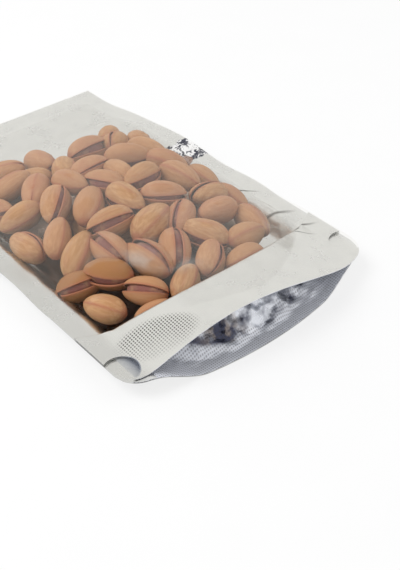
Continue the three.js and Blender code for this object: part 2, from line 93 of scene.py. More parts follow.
@dataclass(frozen=True)
class PouchShape:
    """The filled pouch's sizes in millimetres, and the surfaces of its films.

    In the methods x is a place across, and v is a distance up a film from its bottom edge.
    """

    width: float = 124.0
    length: float = 210.0
    side_seal: float = 9.0
    top_seal: float = 12.0
    corner_radius: float = 7.0
    film: float = 0.25
    layer_gap: float = 0.3
    gusset_depth: float = 32.0
    fold_slack: float = 6.0
    fold_radius: float = 2.5
    back_band: float = 4.0
    punch_radius: float = 6.8
    punch_inset: float = 3.2
    punch_rise: float = 7.4
    seam_height: float = 7.0
    mouth_height: float = 22.5
    fold_height: float = 22.0
    crown_height: float = 27.5
    shoulder_height: float = 25.5
    crown_place: float = 85.0
    shoulder_place: float = 120.0
    fill_length: float = 150.0
    fill_end_height: float = 17.0
    tail_shift: float = 4.0
    tail_height: float = 4.5
    rest_half_width: float = 44.0
    edge_curl: float = 14.0
    bottom_bow: float = 11.0
    front_setback: float = 2.5
    front_skew: float = 2.4
    mouth_lean: float = 5.0
    seal_ripple: float = 0.8
    ripple_pitch: float = 58.0
    seal_blend: float = 14.0
    seal_rise: float = 25.0
    seal_foot: float = 8.0
    seal_curve: float = 1.4
    band_foot: float = 7.0
    band_curve: float = 3.0

    @property
    def half(self) -> float:
        """Half of the width."""
        return self.width / 2

    @property
    def inner(self) -> float:
        """Half of the width between the side seals."""
        return self.half - self.side_seal

    @property
    def bottom(self) -> float:
        """Y of the bottom edge's middle."""
        return -self.length / 2

    @property
    def pitch(self) -> float:
        """One film and one gap."""
        return self.film + self.layer_gap

    @property
    def punched(self) -> tuple[float, float]:
        """X and Y of the right punched hole's centre."""
        return self.half - self.punch_inset, self.bottom + self.bottom_bow + self.punch_rise

    @property
    def sealed_from(self) -> float:
        """Where the top seal starts, up from the bottom edge."""
        return self.length - self.top_seal

    def crown(self, v: np.ndarray) -> np.ndarray:
        """Height of the front film along its middle line.

        Args:
            v: distances up the film.

        Returns:
            The heights.
        """
        late = (self.fill_length + self.sealed_from) / 2 + self.tail_shift
        places = [0, self.gusset_depth, self.crown_place, self.shoulder_place]
        places += [self.fill_length, late, self.sealed_from, self.length]
        values = [self.mouth_height, self.fold_height, self.crown_height, self.shoulder_height]
        values += [self.fill_end_height, self.tail_height, self.pitch, self.pitch]
        return np.maximum(self.pitch, cubic(places, values, np.clip(v, 0, self.sealed_from)))

    def seam(self, v: np.ndarray) -> np.ndarray:
        """Height of the side seams over the table."""
        return self.seam_height * (1 - smooth(v, self.fill_length - 10, self.sealed_from))

    def lift(self, v: np.ndarray) -> np.ndarray:
        """Height of the front film over the back film in the side seals."""
        start = self.gusset_depth + 1
        return mix(3 * self.pitch, self.pitch, smooth(v, start, start + self.seal_blend))

    def ripple(self, x: np.ndarray, v: np.ndarray) -> np.ndarray:
        """The side seals' slow waves.

        Args:
            x: places across.
            v: distances up the film.

        Returns:
            The heights to add.
        """
        in_seal = smooth(np.abs(x), self.inner, self.half)
        start = self.gusset_depth + self.seal_blend
        held = smooth(v, start, start + self.seal_blend) * self.seam(v) / self.seam_height
        wave = np.sin(2 * np.pi * v / self.ripple_pitch + np.sign(x) * 0.7)
        return self.seal_ripple * in_seal * held * wave

    def fullness(self, x: np.ndarray, v: np.ndarray) -> np.ndarray:
        """How full the section is, from 1 in the middle to 0 at the side seals.

        Args:
            x: places across.
            v: distances up the film.

        Returns:
            The shares of the crown's height.
        """
        body_share = smooth(v, 0, self.gusset_depth + self.seal_blend)
        share = np.minimum(1, np.abs(x) / self.inner)
        lean = self.mouth_lean * (1 - body_share) * (1 - share * share)
        leant = np.minimum(1, np.abs(x + lean) / self.inner)
        return mix((1 - leant**2) ** 1.4, 1 - leant**3, body_share)

    def back(self, x: np.ndarray, v: np.ndarray) -> np.ndarray:
        """Underside of the back film.

        Args:
            x: places across.
            v: distances up the film.

        Returns:
            The heights.
        """
        curl = self.edge_curl * (1 - smooth(v, 0, self.gusset_depth))
        rise = smooth(np.abs(x), self.rest_half_width - curl, self.inner)
        return self.seam(v) * rise + self.ripple(x, v)

    def front(self, x: np.ndarray, v: np.ndarray) -> np.ndarray:
        """Underside of the front film, before it sinks between the nuts."""
        edge = self.seam(v) + self.lift(v)
        return edge + np.maximum(0, self.crown(v) - edge) * self.fullness(x, v) + self.ripple(x, v)

    def bowed(self, x: np.ndarray, v: np.ndarray) -> np.ndarray:
        """How far the bottom edge's bow moves a point along."""
        return self.bottom_bow * (1 - smooth(v, self.gusset_depth, self.fill_length)) * (x / self.half) ** 2

    def along(self, x: np.ndarray, v: np.ndarray) -> np.ndarray:
        """Y of a point v up a film from its bottom edge.

        Args:
            x: places across.
            v: distances up the film.

        Returns:
            The places along the pouch.
        """
        past = np.maximum(0, np.abs(x) - (self.half - self.corner_radius))
        rounding = self.corner_radius - np.sqrt(np.maximum(0, self.corner_radius**2 - past**2))
        fade = np.maximum(0, 1 - v / (3 * self.corner_radius))
        return self.bottom + v + self.bowed(x, v) + rounding * fade

    def up_from(self, x: np.ndarray, y: np.ndarray) -> np.ndarray:
        """Distance up the film for a place over the filling."""
        v = y - self.bottom
        return v - self.bowed(x, v)

    def setback(self, x: np.ndarray, v: np.ndarray) -> np.ndarray:
        """How far the filled front film is pulled in from the back film's bottom edge.

        Args:
            x: places across.
            v: distances up the film.

        Returns:
            The distances. The skew adds up to front_skew on one side and takes as much on the other.
        """
        share = x / self.half
        middle = 1 - share**2
        skewed = -self.front_skew * SKEW_UNIT * share * middle
        return (self.front_setback * middle + skewed) * np.maximum(0, 1 - v / self.gusset_depth)

    def fold(self, x: np.ndarray) -> np.ndarray:
        """How far the gusset's fold lies up from the bottom edge."""
        return self.gusset_depth - self.fold_slack * (1 - (x / self.half) ** 2)

    def leg_top(self, x: np.ndarray, v: np.ndarray) -> np.ndarray:
        """Middle of the gusset's front leg, close under the front film."""
        return self.front(x, v) - self.layer_gap - self.film / 2

    def leg_foot(self, x: np.ndarray, v: np.ndarray) -> np.ndarray:
        """Middle of the gusset's back leg where it is sealed to the back film."""
        return self.back(x, v) + self.pitch + self.film / 2


# Meshes


def only(piece: Object) -> Object:
    """Deselects everything, then selects the piece and makes it active.

    Args:
        piece: the piece.

    Returns:
        The same piece.
    """
    bpy.ops.object.select_all(action="DESELECT")
    piece.select_set(True)
    bpy.context.view_layer.objects.active = piece
    return piece


def points_of(piece: Object) -> np.ndarray:
    """The piece's vertices as an array of rows.

    Args:
        piece: the piece.

    Returns:
        The places, in the mesh's own unit.
    """
    mesh = piece.data
    flat = np.empty(len(mesh.vertices) * 3, np.float32)
    mesh.vertices.foreach_get("co", flat)
    return flat.reshape(-1, 3).astype(float)


def set_points(piece: Object, points: np.ndarray) -> None:
    """Moves the piece's vertices to the rows of points."""
    piece.data.vertices.foreach_set("co", points.astype(np.float32).ravel())
    piece.data.update()


def apply_modifier(piece: Object, kind: str, **settings: object) -> None:
    """Adds a modifier with its settings and applies it.

    Args:
        piece: the piece.
        kind: the modifier's type.
        settings: its properties.
    """
    only(piece)
    modifier = piece.modifiers.new(kind.lower(), kind)
    for key, value in settings.items():
        setattr(modifier, key, value)
    bpy.ops.object.modifier_apply(modifier=modifier.name)


def smooth_by_angle(piece: Object, degrees: float) -> None:
    """Shades the piece smooth, with edges sharper than the angle left crisp."""
    only(piece)
    bpy.ops.object.shade_smooth_by_angle(angle=math.radians(degrees))


def joined(parts: list[Object], name: str) -> Object:
    """Joins pieces in the first one.

    Args:
        parts: the pieces.
        name: the joined piece's name.

    Returns:
        The joined piece.
    """
    piece = only(parts[0])
    for part in parts:
        part.select_set(True)
    bpy.ops.object.join()
    piece.name = piece.data.name = name
    return piece


def faces_of(piece: Object) -> tuple[np.ndarray, np.ndarray]:
    """Reads the faces.

    Args:
        piece: the piece.

    Returns:
        The middle of each face in millimetres, and Z of its normal.
    """
    faces = piece.data.polygons
    centres, normals = np.empty(len(faces) * 3, np.float32), np.empty(len(faces) * 3, np.float32)
    faces.foreach_get("center", centres)
    faces.foreach_get("normal", normals)
    return centres.reshape(-1, 3) / MM, normals[2::3]


def grid_sheet(name: str, columns: int, rows: int) -> tuple[Object, np.ndarray, np.ndarray]:
    """A flat grid to be laid out as a film.

    Args:
        name: the piece's name.
        columns: how many faces it has across.
        rows: how many faces it has along.

    Returns:
        The piece, and each vertex's share across and along, from 0 to 1.
    """
    bpy.ops.object.select_all(action="DESELECT")
    bpy.ops.mesh.primitive_grid_add(x_subdivisions=columns, y_subdivisions=rows, size=2.0)
    piece = bpy.context.active_object
    piece.name = piece.data.name = name
    flat = points_of(piece)
    return piece, (flat[:, 0] + 1) / 2, (flat[:, 1] + 1) / 2


def folded_noise(a: np.ndarray, b: np.ndarray, scale: float, count: int, seed: int) -> np.ndarray:
    """Crumples: straight creases in many directions, as foil takes them.

    Args:
        a: first coordinate of each point, in millimetres.
        b: second coordinate.
        scale: the widest spacing of the creases.
        count: how many sets of creases.
        seed: picks the directions.

    Returns:
        A height for each point, from about -1 to 1.
    """
    picks = np.random.default_rng(seed)
    total = np.zeros_like(a)
    weight = 0.0
    for _ in range(count):
        angle, phase = picks.uniform(0, np.pi), picks.uniform(0, 1)
        spacing = scale * picks.uniform(0.35, 1.0)
        bend = 0.22 * np.sin((a * np.sin(angle) - b * np.cos(angle)) / spacing * 1.7 + 6 * phase)
        run = (a * np.cos(angle) + b * np.sin(angle)) / spacing + phase + bend
        total += (np.abs((run % 1.0) - 0.5) * 4 - 1) * spacing
        weight += spacing
    return total / weight * math.sqrt(count)


# Node trees

Colour = tuple[float, float, float, float]


class Term:
    """A number in a node tree. The arithmetic signs combine terms through Math nodes."""

    def __init__(self, tree: "Tree", socket: NodeSocket) -> None:
        """Keeps the tree and the socket."""
        self.tree = tree
        self.socket = socket

    def __add__(self, other: "Term | float") -> "Term":
        """The sum."""
        return self.tree.maths("ADD", self, other)

    def __sub__(self, other: "Term | float") -> "Term":
        """The difference."""
        return self.tree.maths("SUBTRACT", self, other)

    def __mul__(self, other: "Term | float") -> "Term":
        """The product."""
        return self.tree.maths("MULTIPLY", self, other)

    def __truediv__(self, other: "Term | float") -> "Term":
        """The quotient."""
        return self.tree.maths("DIVIDE", self, other)

    def __pow__(self, power: float) -> "Term":
        """The power."""
        return self.tree.maths("POWER", self, power)

    def __abs__(self) -> "Term":
        """The value without its sign."""
        return self.tree.maths("ABSOLUTE", self)


class Tree:
    """Short calls for building the node tree of a material, a world or a group."""

    def __init__(self, tree: NodeTree) -> None:
        """Keeps the tree and empties it."""
        self.tree = tree
        self.tree.nodes.clear()

    def add(self, kind: str, **inputs: object) -> Node:
        """Adds a node.

        Args:
            kind: the node's type, without its ShaderNode prefix.
            inputs: properties of the node, or input sockets by name, with _ for a space.

        Returns:
            The node.
        """
        node = self.tree.nodes.new("ShaderNode" + kind)
        for key, value in inputs.items():
            if hasattr(node, key):
                setattr(node, key, value)
            else:
                self.feed(node.inputs[key.replace("_", " ")], value)
        return node

    def feed(self, socket: NodeSocket, value: object) -> None:
        """Links a term or an output to the socket, or sets its value.

        Args:
            socket: the input.
            value: a term, an output or a constant.
        """
        source = value.socket if isinstance(value, Term) else value
        if isinstance(source, NodeSocket):
            self.tree.links.new(source, socket)
        else:
            socket.default_value = source

    def row(self, kind: str, *values: object) -> Node:
        """Adds a node and feeds its inputs in order.

        Args:
            kind: the node's type, without its ShaderNode prefix.
            values: what its inputs get.

        Returns:
            The node.
        """
        node = self.tree.nodes.new("ShaderNode" + kind)
        for socket, value in zip(node.inputs, values):
            self.feed(socket, value)
        return node

    def maths(self, operation: str, *values: object) -> Term:
        """A Math node's value.

        Args:
            operation: the node's operation.
            values: its inputs.

        Returns:
            The result.
        """
        node = self.row("Math", *values)
        node.operation = operation
        return Term(self, node.outputs[0])

    def ramp(
        self, value: object, low: float, high: float, to_low: float = 0.0, to_high: float = 1.0,
    ) -> Term:
        """A smooth step of the value from low to high, which may be the lesser of the two.

        Args:
            value: the term or output that is looked at.
            low: where the step starts.
            high: where it ends.
            to_low: the result at its start.
            to_high: the result at its end.

        Returns:
            The result.
        """
        node = self.row("MapRange", value, low, high, to_low, to_high)
        node.interpolation_type = "SMOOTHSTEP"
        return Term(self, node.outputs["Result"])

    def blend(self, share: object, first: object, second: object) -> NodeSocket:
        """A colour Mix node's output.

        Args:
            share: how much of the second colour shows.
            first: the first colour.
            second: the second.

        Returns:
            The blended colour.
        """
        node = self.tree.nodes.new("ShaderNodeMix")
        node.data_type = "RGBA"
        for place, value in ((0, share), (6, first), (7, second)):
            self.feed(node.inputs[place], value)
        return node.outputs[2]

    def mixed(self, share: object, first: object, second: object) -> NodeSocket:
        """A Mix Shader node's output."""
        return self.row("MixShader", share, first, second).outputs[0]

    def noise(self, place: object, scale: float, detail: float = 3.0, rough: float = 0.5) -> Term:
        """A Noise Texture's value."""
        node = self.add("TexNoise", Vector=place, Scale=scale, Detail=detail, Roughness=rough)
        return Term(self, node.outputs["Fac"])

    def object_place(self) -> NodeSocket:
        """Object coordinates, which are the frame's own."""
        return self.add("TexCoord").outputs["Object"]

    def axes(self, place: object) -> tuple[Term, Term, Term]:
        """The three coordinates of a place."""
        x, y, z = self.add("SeparateXYZ", Vector=place).outputs
        return Term(self, x), Term(self, y), Term(self, z)

    def turned(self, x: Term, y: Term, origin: tuple[float, float], turn: float) -> tuple[Term, Term]:
        """Distances along and across a direction.

        Args:
            x: the place across the pouch, in metres.
            y: the place along the pouch.
            origin: where both distances are 0, in millimetres.
            turn: the direction's turn from +X, in radians.

        Returns:
            The distance along the direction and the distance to its left.
        """
        dx, dy = x - origin[0] * MM, y - origin[1] * MM
        cos, sin = math.cos(turn), math.sin(turn)
        return dx * cos + dy * sin, dy * cos - dx * sin

    def oval(self, x: Term, y: Term, spot: tuple[float, float, float, float], power: float = 2.0) -> Term:
        """How far out a place lies in an oval.

        Args:
            x: the place across the pouch, in metres.
            y: the place along the pouch.
            spot: the oval's centre and its reach both ways, in millimetres.
            power: 2 for an ellipse, and more for squarer forms.

        Returns:
            0 at the centre and 1 on the oval.
        """
        terms = []
        for value, middle, reach in ((x, spot[0], spot[2]), (y, spot[1], spot[3])):
            terms.append(abs((value - middle * MM) / (reach * MM)) ** power)
        return terms[0] + terms[1]

    def group(self, tree: NodeTree, **inputs: object) -> dict[str, Term]:
        """Places a node group, feeds its inputs and gives its outputs by name.

        Args:
            tree: the group.
            inputs: its inputs by name.

        Returns:
            Its outputs by name.
        """
        node = self.tree.nodes.new("ShaderNodeGroup")
        node.node_tree = tree
        for key, value in inputs.items():
            self.feed(node.inputs[key], value)
        return {socket.name: Term(self, socket) for socket in node.outputs}

    def surface(self, shader: NodeSocket) -> None:
        """Links the shader to the material's surface."""
        self.row("OutputMaterial", shader)


def new_material(name: str) -> tuple[Material, Tree]:
    """Makes a material with an empty node tree.

    Args:
        name: the material's name.

    Returns:
        The material and the Tree to build it with.
    """
    material = bpy.data.materials.new(name)
    material.use_nodes = True
    return material, Tree(material.node_tree)


def new_group(name: str, inputs: dict[str, float], outputs: list[str]) -> tuple[Tree, dict[str, Term], Node]:
    """Makes a node group with its input and output nodes.

    Args:
        name: the group's name.
        inputs: its number inputs with their defaults. Place is a vector input that every group has.
        outputs: its number outputs.

    Returns:
        A Tree to build the group with, its inputs by name, and its output node.
    """
    group = bpy.data.node_groups.new(name, "ShaderNodeTree")
    group.interface.new_socket("Place", in_out="INPUT", socket_type="NodeSocketVector")
    for label, value in inputs.items():
        socket = group.interface.new_socket(label, in_out="INPUT", socket_type="NodeSocketFloat")
        socket.default_value = value
    for label in outputs:
        group.interface.new_socket(label, in_out="OUTPUT", socket_type="NodeSocketFloat")
    tree = Tree(group)
    source = group.nodes.new("NodeGroupInput")
    named = {socket.name: Term(tree, socket) for socket in source.outputs if socket.name}
    return tree, named, group.nodes.new("NodeGroupOutput")


def seal_knurl_group() -> NodeTree:
    """Rows of small pressed dots, as a heated seal bar leaves them.

    Returns:
        The group. Its output Height is 1 on a dot and 0 between dots.
    """
    tree, inputs, output = new_group("seal_knurl", {"Pitch": 0.001}, ["Height"])
    x, y, _ = tree.axes(inputs["Place"])
    waves = [tree.maths("SINE", (x + y * sign) * (2 * math.pi) / inputs["Pitch"]) for sign in (1.0, -1.0)]
    tree.feed(output.inputs["Height"], tree.ramp(waves[0] * waves[1], 0.08, 0.5))
    return tree.tree


def seal_mask_group(shape: PouchShape) -> NodeTree:
    """Where the films are sealed: both sides, the top and the curved bottom seal.

    Args:
        shape: the pouch's sizes.

    Returns:
        The group. Its output Gusset is the bottom seal alone, as wide as it is inside the mouth.
    """
    tree, inputs, output = new_group("seal_mask", {}, ["Mask", "Gusset"])
    x, y, _ = tree.axes(inputs["Place"])
    across = abs(x)
    soft = 0.4
    side = tree.ramp(across, (shape.inner - soft) * MM, (shape.inner + soft) * MM)
    top_y = shape.bottom + shape.sealed_from
    top = tree.ramp(y, (top_y - soft) * MM, (top_y + soft) * MM)
    height = y - shape.bottom * MM - (across / (shape.half * MM)) ** 2.0 * (shape.bottom_bow * MM)
    bands = []
    for foot, power in ((shape.seal_foot, shape.seal_curve), (shape.band_foot, shape.band_curve)):
        arc = (across / (shape.inner * MM)) ** power * (shape.seal_rise * MM) + foot * MM
        bands.append(tree.ramp(arc - height, -MM, MM))
    mask = tree.maths("MAXIMUM", tree.maths("MAXIMUM", side, top), bands[0])
    tree.feed(output.inputs["Mask"], mask)
    tree.feed(output.inputs["Gusset"], bands[1])
    return tree.tree


# Finishes


@dataclass(frozen=True)
class FoilFinish:
    """Silver foil laminate, bright and slightly uneven, with pressed dots in its seals and painted light.

    Places and reaches are in millimetres. The painted light is patches of painted shade, painted glints,
    painted reflections, and painted shade in the dent, along creases and towards the left side seal. Shade
    shifts are (place across, reach, shift) of the painted shade patches. The painted glint and the spot of
    painted reflection are (centre, reach), the strip of painted glints is (low x, high x, low y, high y),
    and the dent's painted shade is (centre, radius, x of its chord). A crease is (first point, second
    point, width) of a line of painted shade.
    """

    name: str
    colour: Colour = (0.755, 0.755, 0.735, 1.0)
    # colour of the painted shade patches
    shade: Colour = (0.70, 0.70, 0.685, 1.0)
    metal: float = 1.0
    roughness: float = 0.3
    band: Colour | None = None
    band_metal: float = 1.0
    # colour of the painted reflection of the nuts and painted shade under them
    painted_nut_reflection: Colour | None = None
    knurl_depth: float = 0.005
    dot_pitch: float = 2.1
    dot_shade: float = 0.015
    dot_and_glint_colour: Colour = (0.06, 0.05, 0.05, 1.0)
    patch: float = 0.5
    patch_scale: float = 90.0
    shade_shifts: tuple[tuple[float, float, float], ...] = ()
    tint_at: tuple[float, float] | None = None
    tint: Colour = (0.36, 0.30, 0.26, 1.0)
    # share of the foil colour kept in the painted shade at the left side seal
    left_shade_share: float = 0.82
    # centre and reach of the painted glints
    glint: tuple[float, float, float, float] = (-42.0, -85.5, 18.0, 9.0)
    glint_turn: float = -28.0
    # the strip of painted glints: its place, the middle of its painted highlight, and its dark and light
    # colours
    strip: tuple[float, float, float, float] = (50.0, 62.5, 5.0, 22.0)
    strip_middle: float = 14.5
    strip_dark_reflection: Colour = (0.015, 0.018, 0.045, 1.0)
    strip_highlight: Colour = (0.98, 0.98, 1.0, 1.0)
    # the spot of painted reflection of the nuts, and its colour
    painted_reflection_spot: tuple[float, float, float, float] = (50.0, 7.5, 4.5, 4.0)
    painted_reflection_colour: Colour = (0.30, 0.15, 0.09, 1.0)
    # the painted shade of the dent in the punched hole, and its colour
    dent: tuple[float, float, float, float] = (-58.8, -86.8, 7.0, -56.6)
    dent_shade_colour: Colour = (0.20, 0.22, 0.27, 1.0)
    # lines of painted shade along creases, and their colour
    creases: tuple[tuple[float, float, float, float, float], ...] = ()
    crease_shade_colour: Colour = (0.12, 0.11, 0.10, 1.0)

    def build(self, knurl: NodeTree, mask: NodeTree) -> Material:
        """Builds the material.

        Args:
            knurl: the pressed dots' group.
            mask: the group that says where the seals are.

        Returns:
            The material.
        """
        material, tree = new_material(self.name)
        place = tree.object_place()
        dots = tree.group(knurl, Place=place, Pitch=self.dot_pitch * MM)["Height"]
        seals = tree.group(mask, Place=place)
        pressed = dots * seals["Mask"]
        broad = self.patches(tree, place)
        colour = self.plain(tree, place, broad, seals["Gusset"])
        # painted glints: dots near the corner seal darkened as a painted reflection of something dark
        glint = dots * self.painted_glints(tree, place) * 0.95
        dark = tree.maths("MAXIMUM", pressed * self.dot_shade, glint)
        colour = tree.blend(dark, colour, self.dot_and_glint_colour)
        # painted glints: the strip's speckles of painted dark reflection and painted highlight
        colour = tree.blend(self.in_glint_strip(tree, place), colour, self.painted_glint_speckles(tree, place))
        # painted reflection of the nuts on the foil beside the strip
        colour = tree.blend(self.painted_reflection_mask(tree, place), colour, self.painted_reflection_colour)
        # painted shade where the film dips into the punched hole
        painted_dent_shade = self.painted_dent_shade(tree, place)
        colour = tree.blend(painted_dent_shade, colour, self.dent_shade_colour)
        # painted shade along each crease
        for crease in self.creases:
            colour = tree.blend(self.painted_crease_shade(tree, place, crease), colour, self.crease_shade_colour)
        metal = tree.ramp(seals["Gusset"], 0.0, 1.0, self.metal, self.band_metal)
        metal = metal * tree.ramp(painted_dent_shade, 0.0, 0.3, 1.0, 0.1)
        waves = tree.add("Bump", Strength=0.05, Distance=0.4 * MM, Height=tree.noise(place, 80.0, 1.0))
        knurled = tree.add("Bump", Strength=self.knurl_depth, Distance=0.12 * MM, Height=pressed)
        tree.feed(knurled.inputs["Normal"], waves.outputs[0])
        rough = tree.ramp(broad, 0.25, 0.75, self.roughness * 0.8, self.roughness * 1.25)
        shader = tree.add("BsdfPrincipled", Base_Color=colour, Metallic=metal, Roughness=rough)
        tree.feed(shader.inputs["Normal"], knurled.outputs[0])
        tree.surface(shader.outputs[0])
        return material

    def patches(self, tree: Tree, place: NodeSocket) -> Term:
        """The broad patches of painted shade, lighter and darker foil, shifted where a shade shift says so.

        Args:
            tree: the material's tree.
            place: object coordinates.

        Returns:
            The painted shade patches, around 0.5.
        """
        x, _, _ = tree.axes(place)
        broad = tree.noise(place, self.patch_scale, 4.0, 0.6)
        for middle, reach, shift in self.shade_shifts:
            broad = broad + tree.ramp(abs(x - middle * MM), reach * MM, 0.0, 0.0, shift)
        return broad

    def plain(self, tree: Tree, place: NodeSocket, broad: Term, gusset: Term) -> NodeSocket:
        """The foil's colour with its painted shade patches, the painted reflection of the nuts and the
        painted shade towards the left side seal, without dots and marks.

        Args:
            tree: the material's tree.
            place: object coordinates.
            broad: the broad patches of painted shade.
            gusset: the mask of the bottom seal.

        Returns:
            The colour.
        """
        x, y, _ = tree.axes(place)
        # painted shade: patches between the shade colour and the foil colour
        colour = tree.blend(tree.ramp(broad, self.patch - 0.2, self.patch + 0.12), self.shade, self.colour)
        if self.tint_at:
            near = tree.ramp(abs(x - self.tint_at[0] * MM), self.tint_at[1] * MM, 0.0, 0.0, 0.7)
            spots = tree.ramp(tree.noise(place, 190.0, 2.0), 0.46, 0.58)
            colour = tree.blend(near * spots, colour, self.tint)
        # painted reflection of the nuts and painted shade under them, on the foil inside the window
        if self.painted_nut_reflection:
            middle = tree.ramp(abs(x), 46 * MM, 39 * MM)
            away = tree.ramp(x - y, 98 * MM, 82 * MM)
            colour = tree.blend(middle * away, colour, self.painted_nut_reflection)
        if self.band:
            colour = tree.blend(gusset, colour, self.band)
        # painted shade: the foil darker towards the left side seal
        left_shade = tuple(value * self.left_shade_share for value in self.colour[:3]) + (1.0,)
        return tree.blend(tree.ramp(x, -50 * MM, -57 * MM, 0.0, 0.85), colour, left_shade)

    def painted_glints(self, tree: Tree, place: NodeSocket) -> Term:
        """Where the pressed dots of the corner seal get painted glints, a painted reflection of something
        dark, most at the upper edge.

        Args:
            tree: the material's tree.
            place: object coordinates.

        Returns:
            The mask, from 0 to 1.
        """
        x, y, z = tree.axes(place)
        along, across = tree.turned(x, y, self.glint[:2], math.radians(self.glint_turn))
        reach = self.glint[3]
        near = tree.ramp(tree.oval(along, across, (0.0, 0.0) + self.glint[2:]), 1.0, 0.45)
        upper = tree.ramp(across, -reach * MM, reach * 0.5 * MM, 0.3, 1.0)
        return near * upper * tree.ramp(z, 8 * MM, 9 * MM)

    def painted_glint_speckles(self, tree: Tree, place: NodeSocket) -> NodeSocket:
        """The strip's painted glints: speckles of painted dark reflection and painted highlight, lightest in
        its middle.

        Args:
            tree: the material's tree.
            place: object coordinates.

        Returns:
            The colour.
        """
        _, y, _ = tree.axes(place)
        middle_highlight = tree.ramp(abs(y - self.strip_middle * MM), 8.5 * MM, 1.0 * MM, 0.0, 0.16)
        patchy = tree.noise(place, 230.0, 3.0, 0.65) * 0.9
        share = tree.ramp(tree.noise(place, 850.0, 3.0, 0.6) + patchy + middle_highlight, 0.98, 1.12)
        return tree.blend(share, self.strip_dark_reflection, self.strip_highlight)

    def in_glint_strip(self, tree: Tree, place: NodeSocket) -> Term:
        """Where the strip of painted glints crosses the right side seal.

        Args:
            tree: the material's tree.
            place: object coordinates.

        Returns:
            The mask, from 0 to 1.
        """
        x, y, _ = tree.axes(place)
        wobble = (tree.noise(place, 260.0, 2.0) + -0.5) * (5 * MM)
        low_x, high_x, low_y, high_y = (value * MM for value in self.strip)
        x, y = x + wobble, y + wobble
        inside = tree.maths("GREATER_THAN", x, low_x) * tree.maths("LESS_THAN", x, high_x)
        return inside * tree.maths("GREATER_THAN", y, low_y) * tree.maths("LESS_THAN", y, high_y)

    def painted_reflection_mask(self, tree: Tree, place: NodeSocket) -> Term:
        """Where the foil beside the strip gets a painted reflection of the nuts.

        Args:
            tree: the material's tree.
            place: object coordinates.

        Returns:
            The mask, from 0 to 1.
        """
        x, y, _ = tree.axes(place)
        ragged = tree.oval(x, y, self.painted_reflection_spot) + tree.noise(place, 300.0, 2.0)
        return tree.ramp(ragged, 1.4, 1.0, 0.0, 0.85)

    def painted_dent_shade(self, tree: Tree, place: NodeSocket) -> Term:
        """Painted shade where the film dips into the left punched hole, from a straight chord to the hole's
        edge.

        Args:
            tree: the material's tree.
            place: object coordinates.

        Returns:
            The mask, from 0 to 1.
        """
        x, y, _ = tree.axes(place)
        middle, along, radius, chord = self.dent
        distance = tree.oval(x, y, (middle, along, 1.0, 1.0)) ** 0.5
        inside = tree.ramp(distance, radius + 0.3, radius)
        deep = tree.ramp(x, (chord - 0.3) * MM, (chord + 0.2) * MM, 0.0, 0.45)
        return inside * (deep + tree.ramp(x, chord * MM, (middle + radius) * MM, 0.0, 0.55))

    def painted_crease_shade(self, tree: Tree, place: NodeSocket, crease: tuple[float, ...]) -> Term:
        """A fine line of painted shade along a crease, which fades at both ends.

        Args:
            tree: the material's tree.
            place: object coordinates.
            crease: the line's first point, second point and width.

        Returns:
            Its mask.
        """
        x, y, _ = tree.axes(place)
        x0, y0, x1, y1, width = crease
        length = math.hypot(x1 - x0, y1 - y0) * MM
        wobble = (tree.noise(place, 120.0, 3.0) + -0.5) * (3 * MM)
        along, off = tree.turned(x, y + wobble, (x0, y0), math.atan2(y1 - y0, x1 - x0))
        start = tree.ramp(along, -length * 0.05, length * 0.3)
        end = tree.ramp(along, length * 1.05, length * 0.6)
        return tree.ramp(abs(off), width * MM, 0.0) * start * end


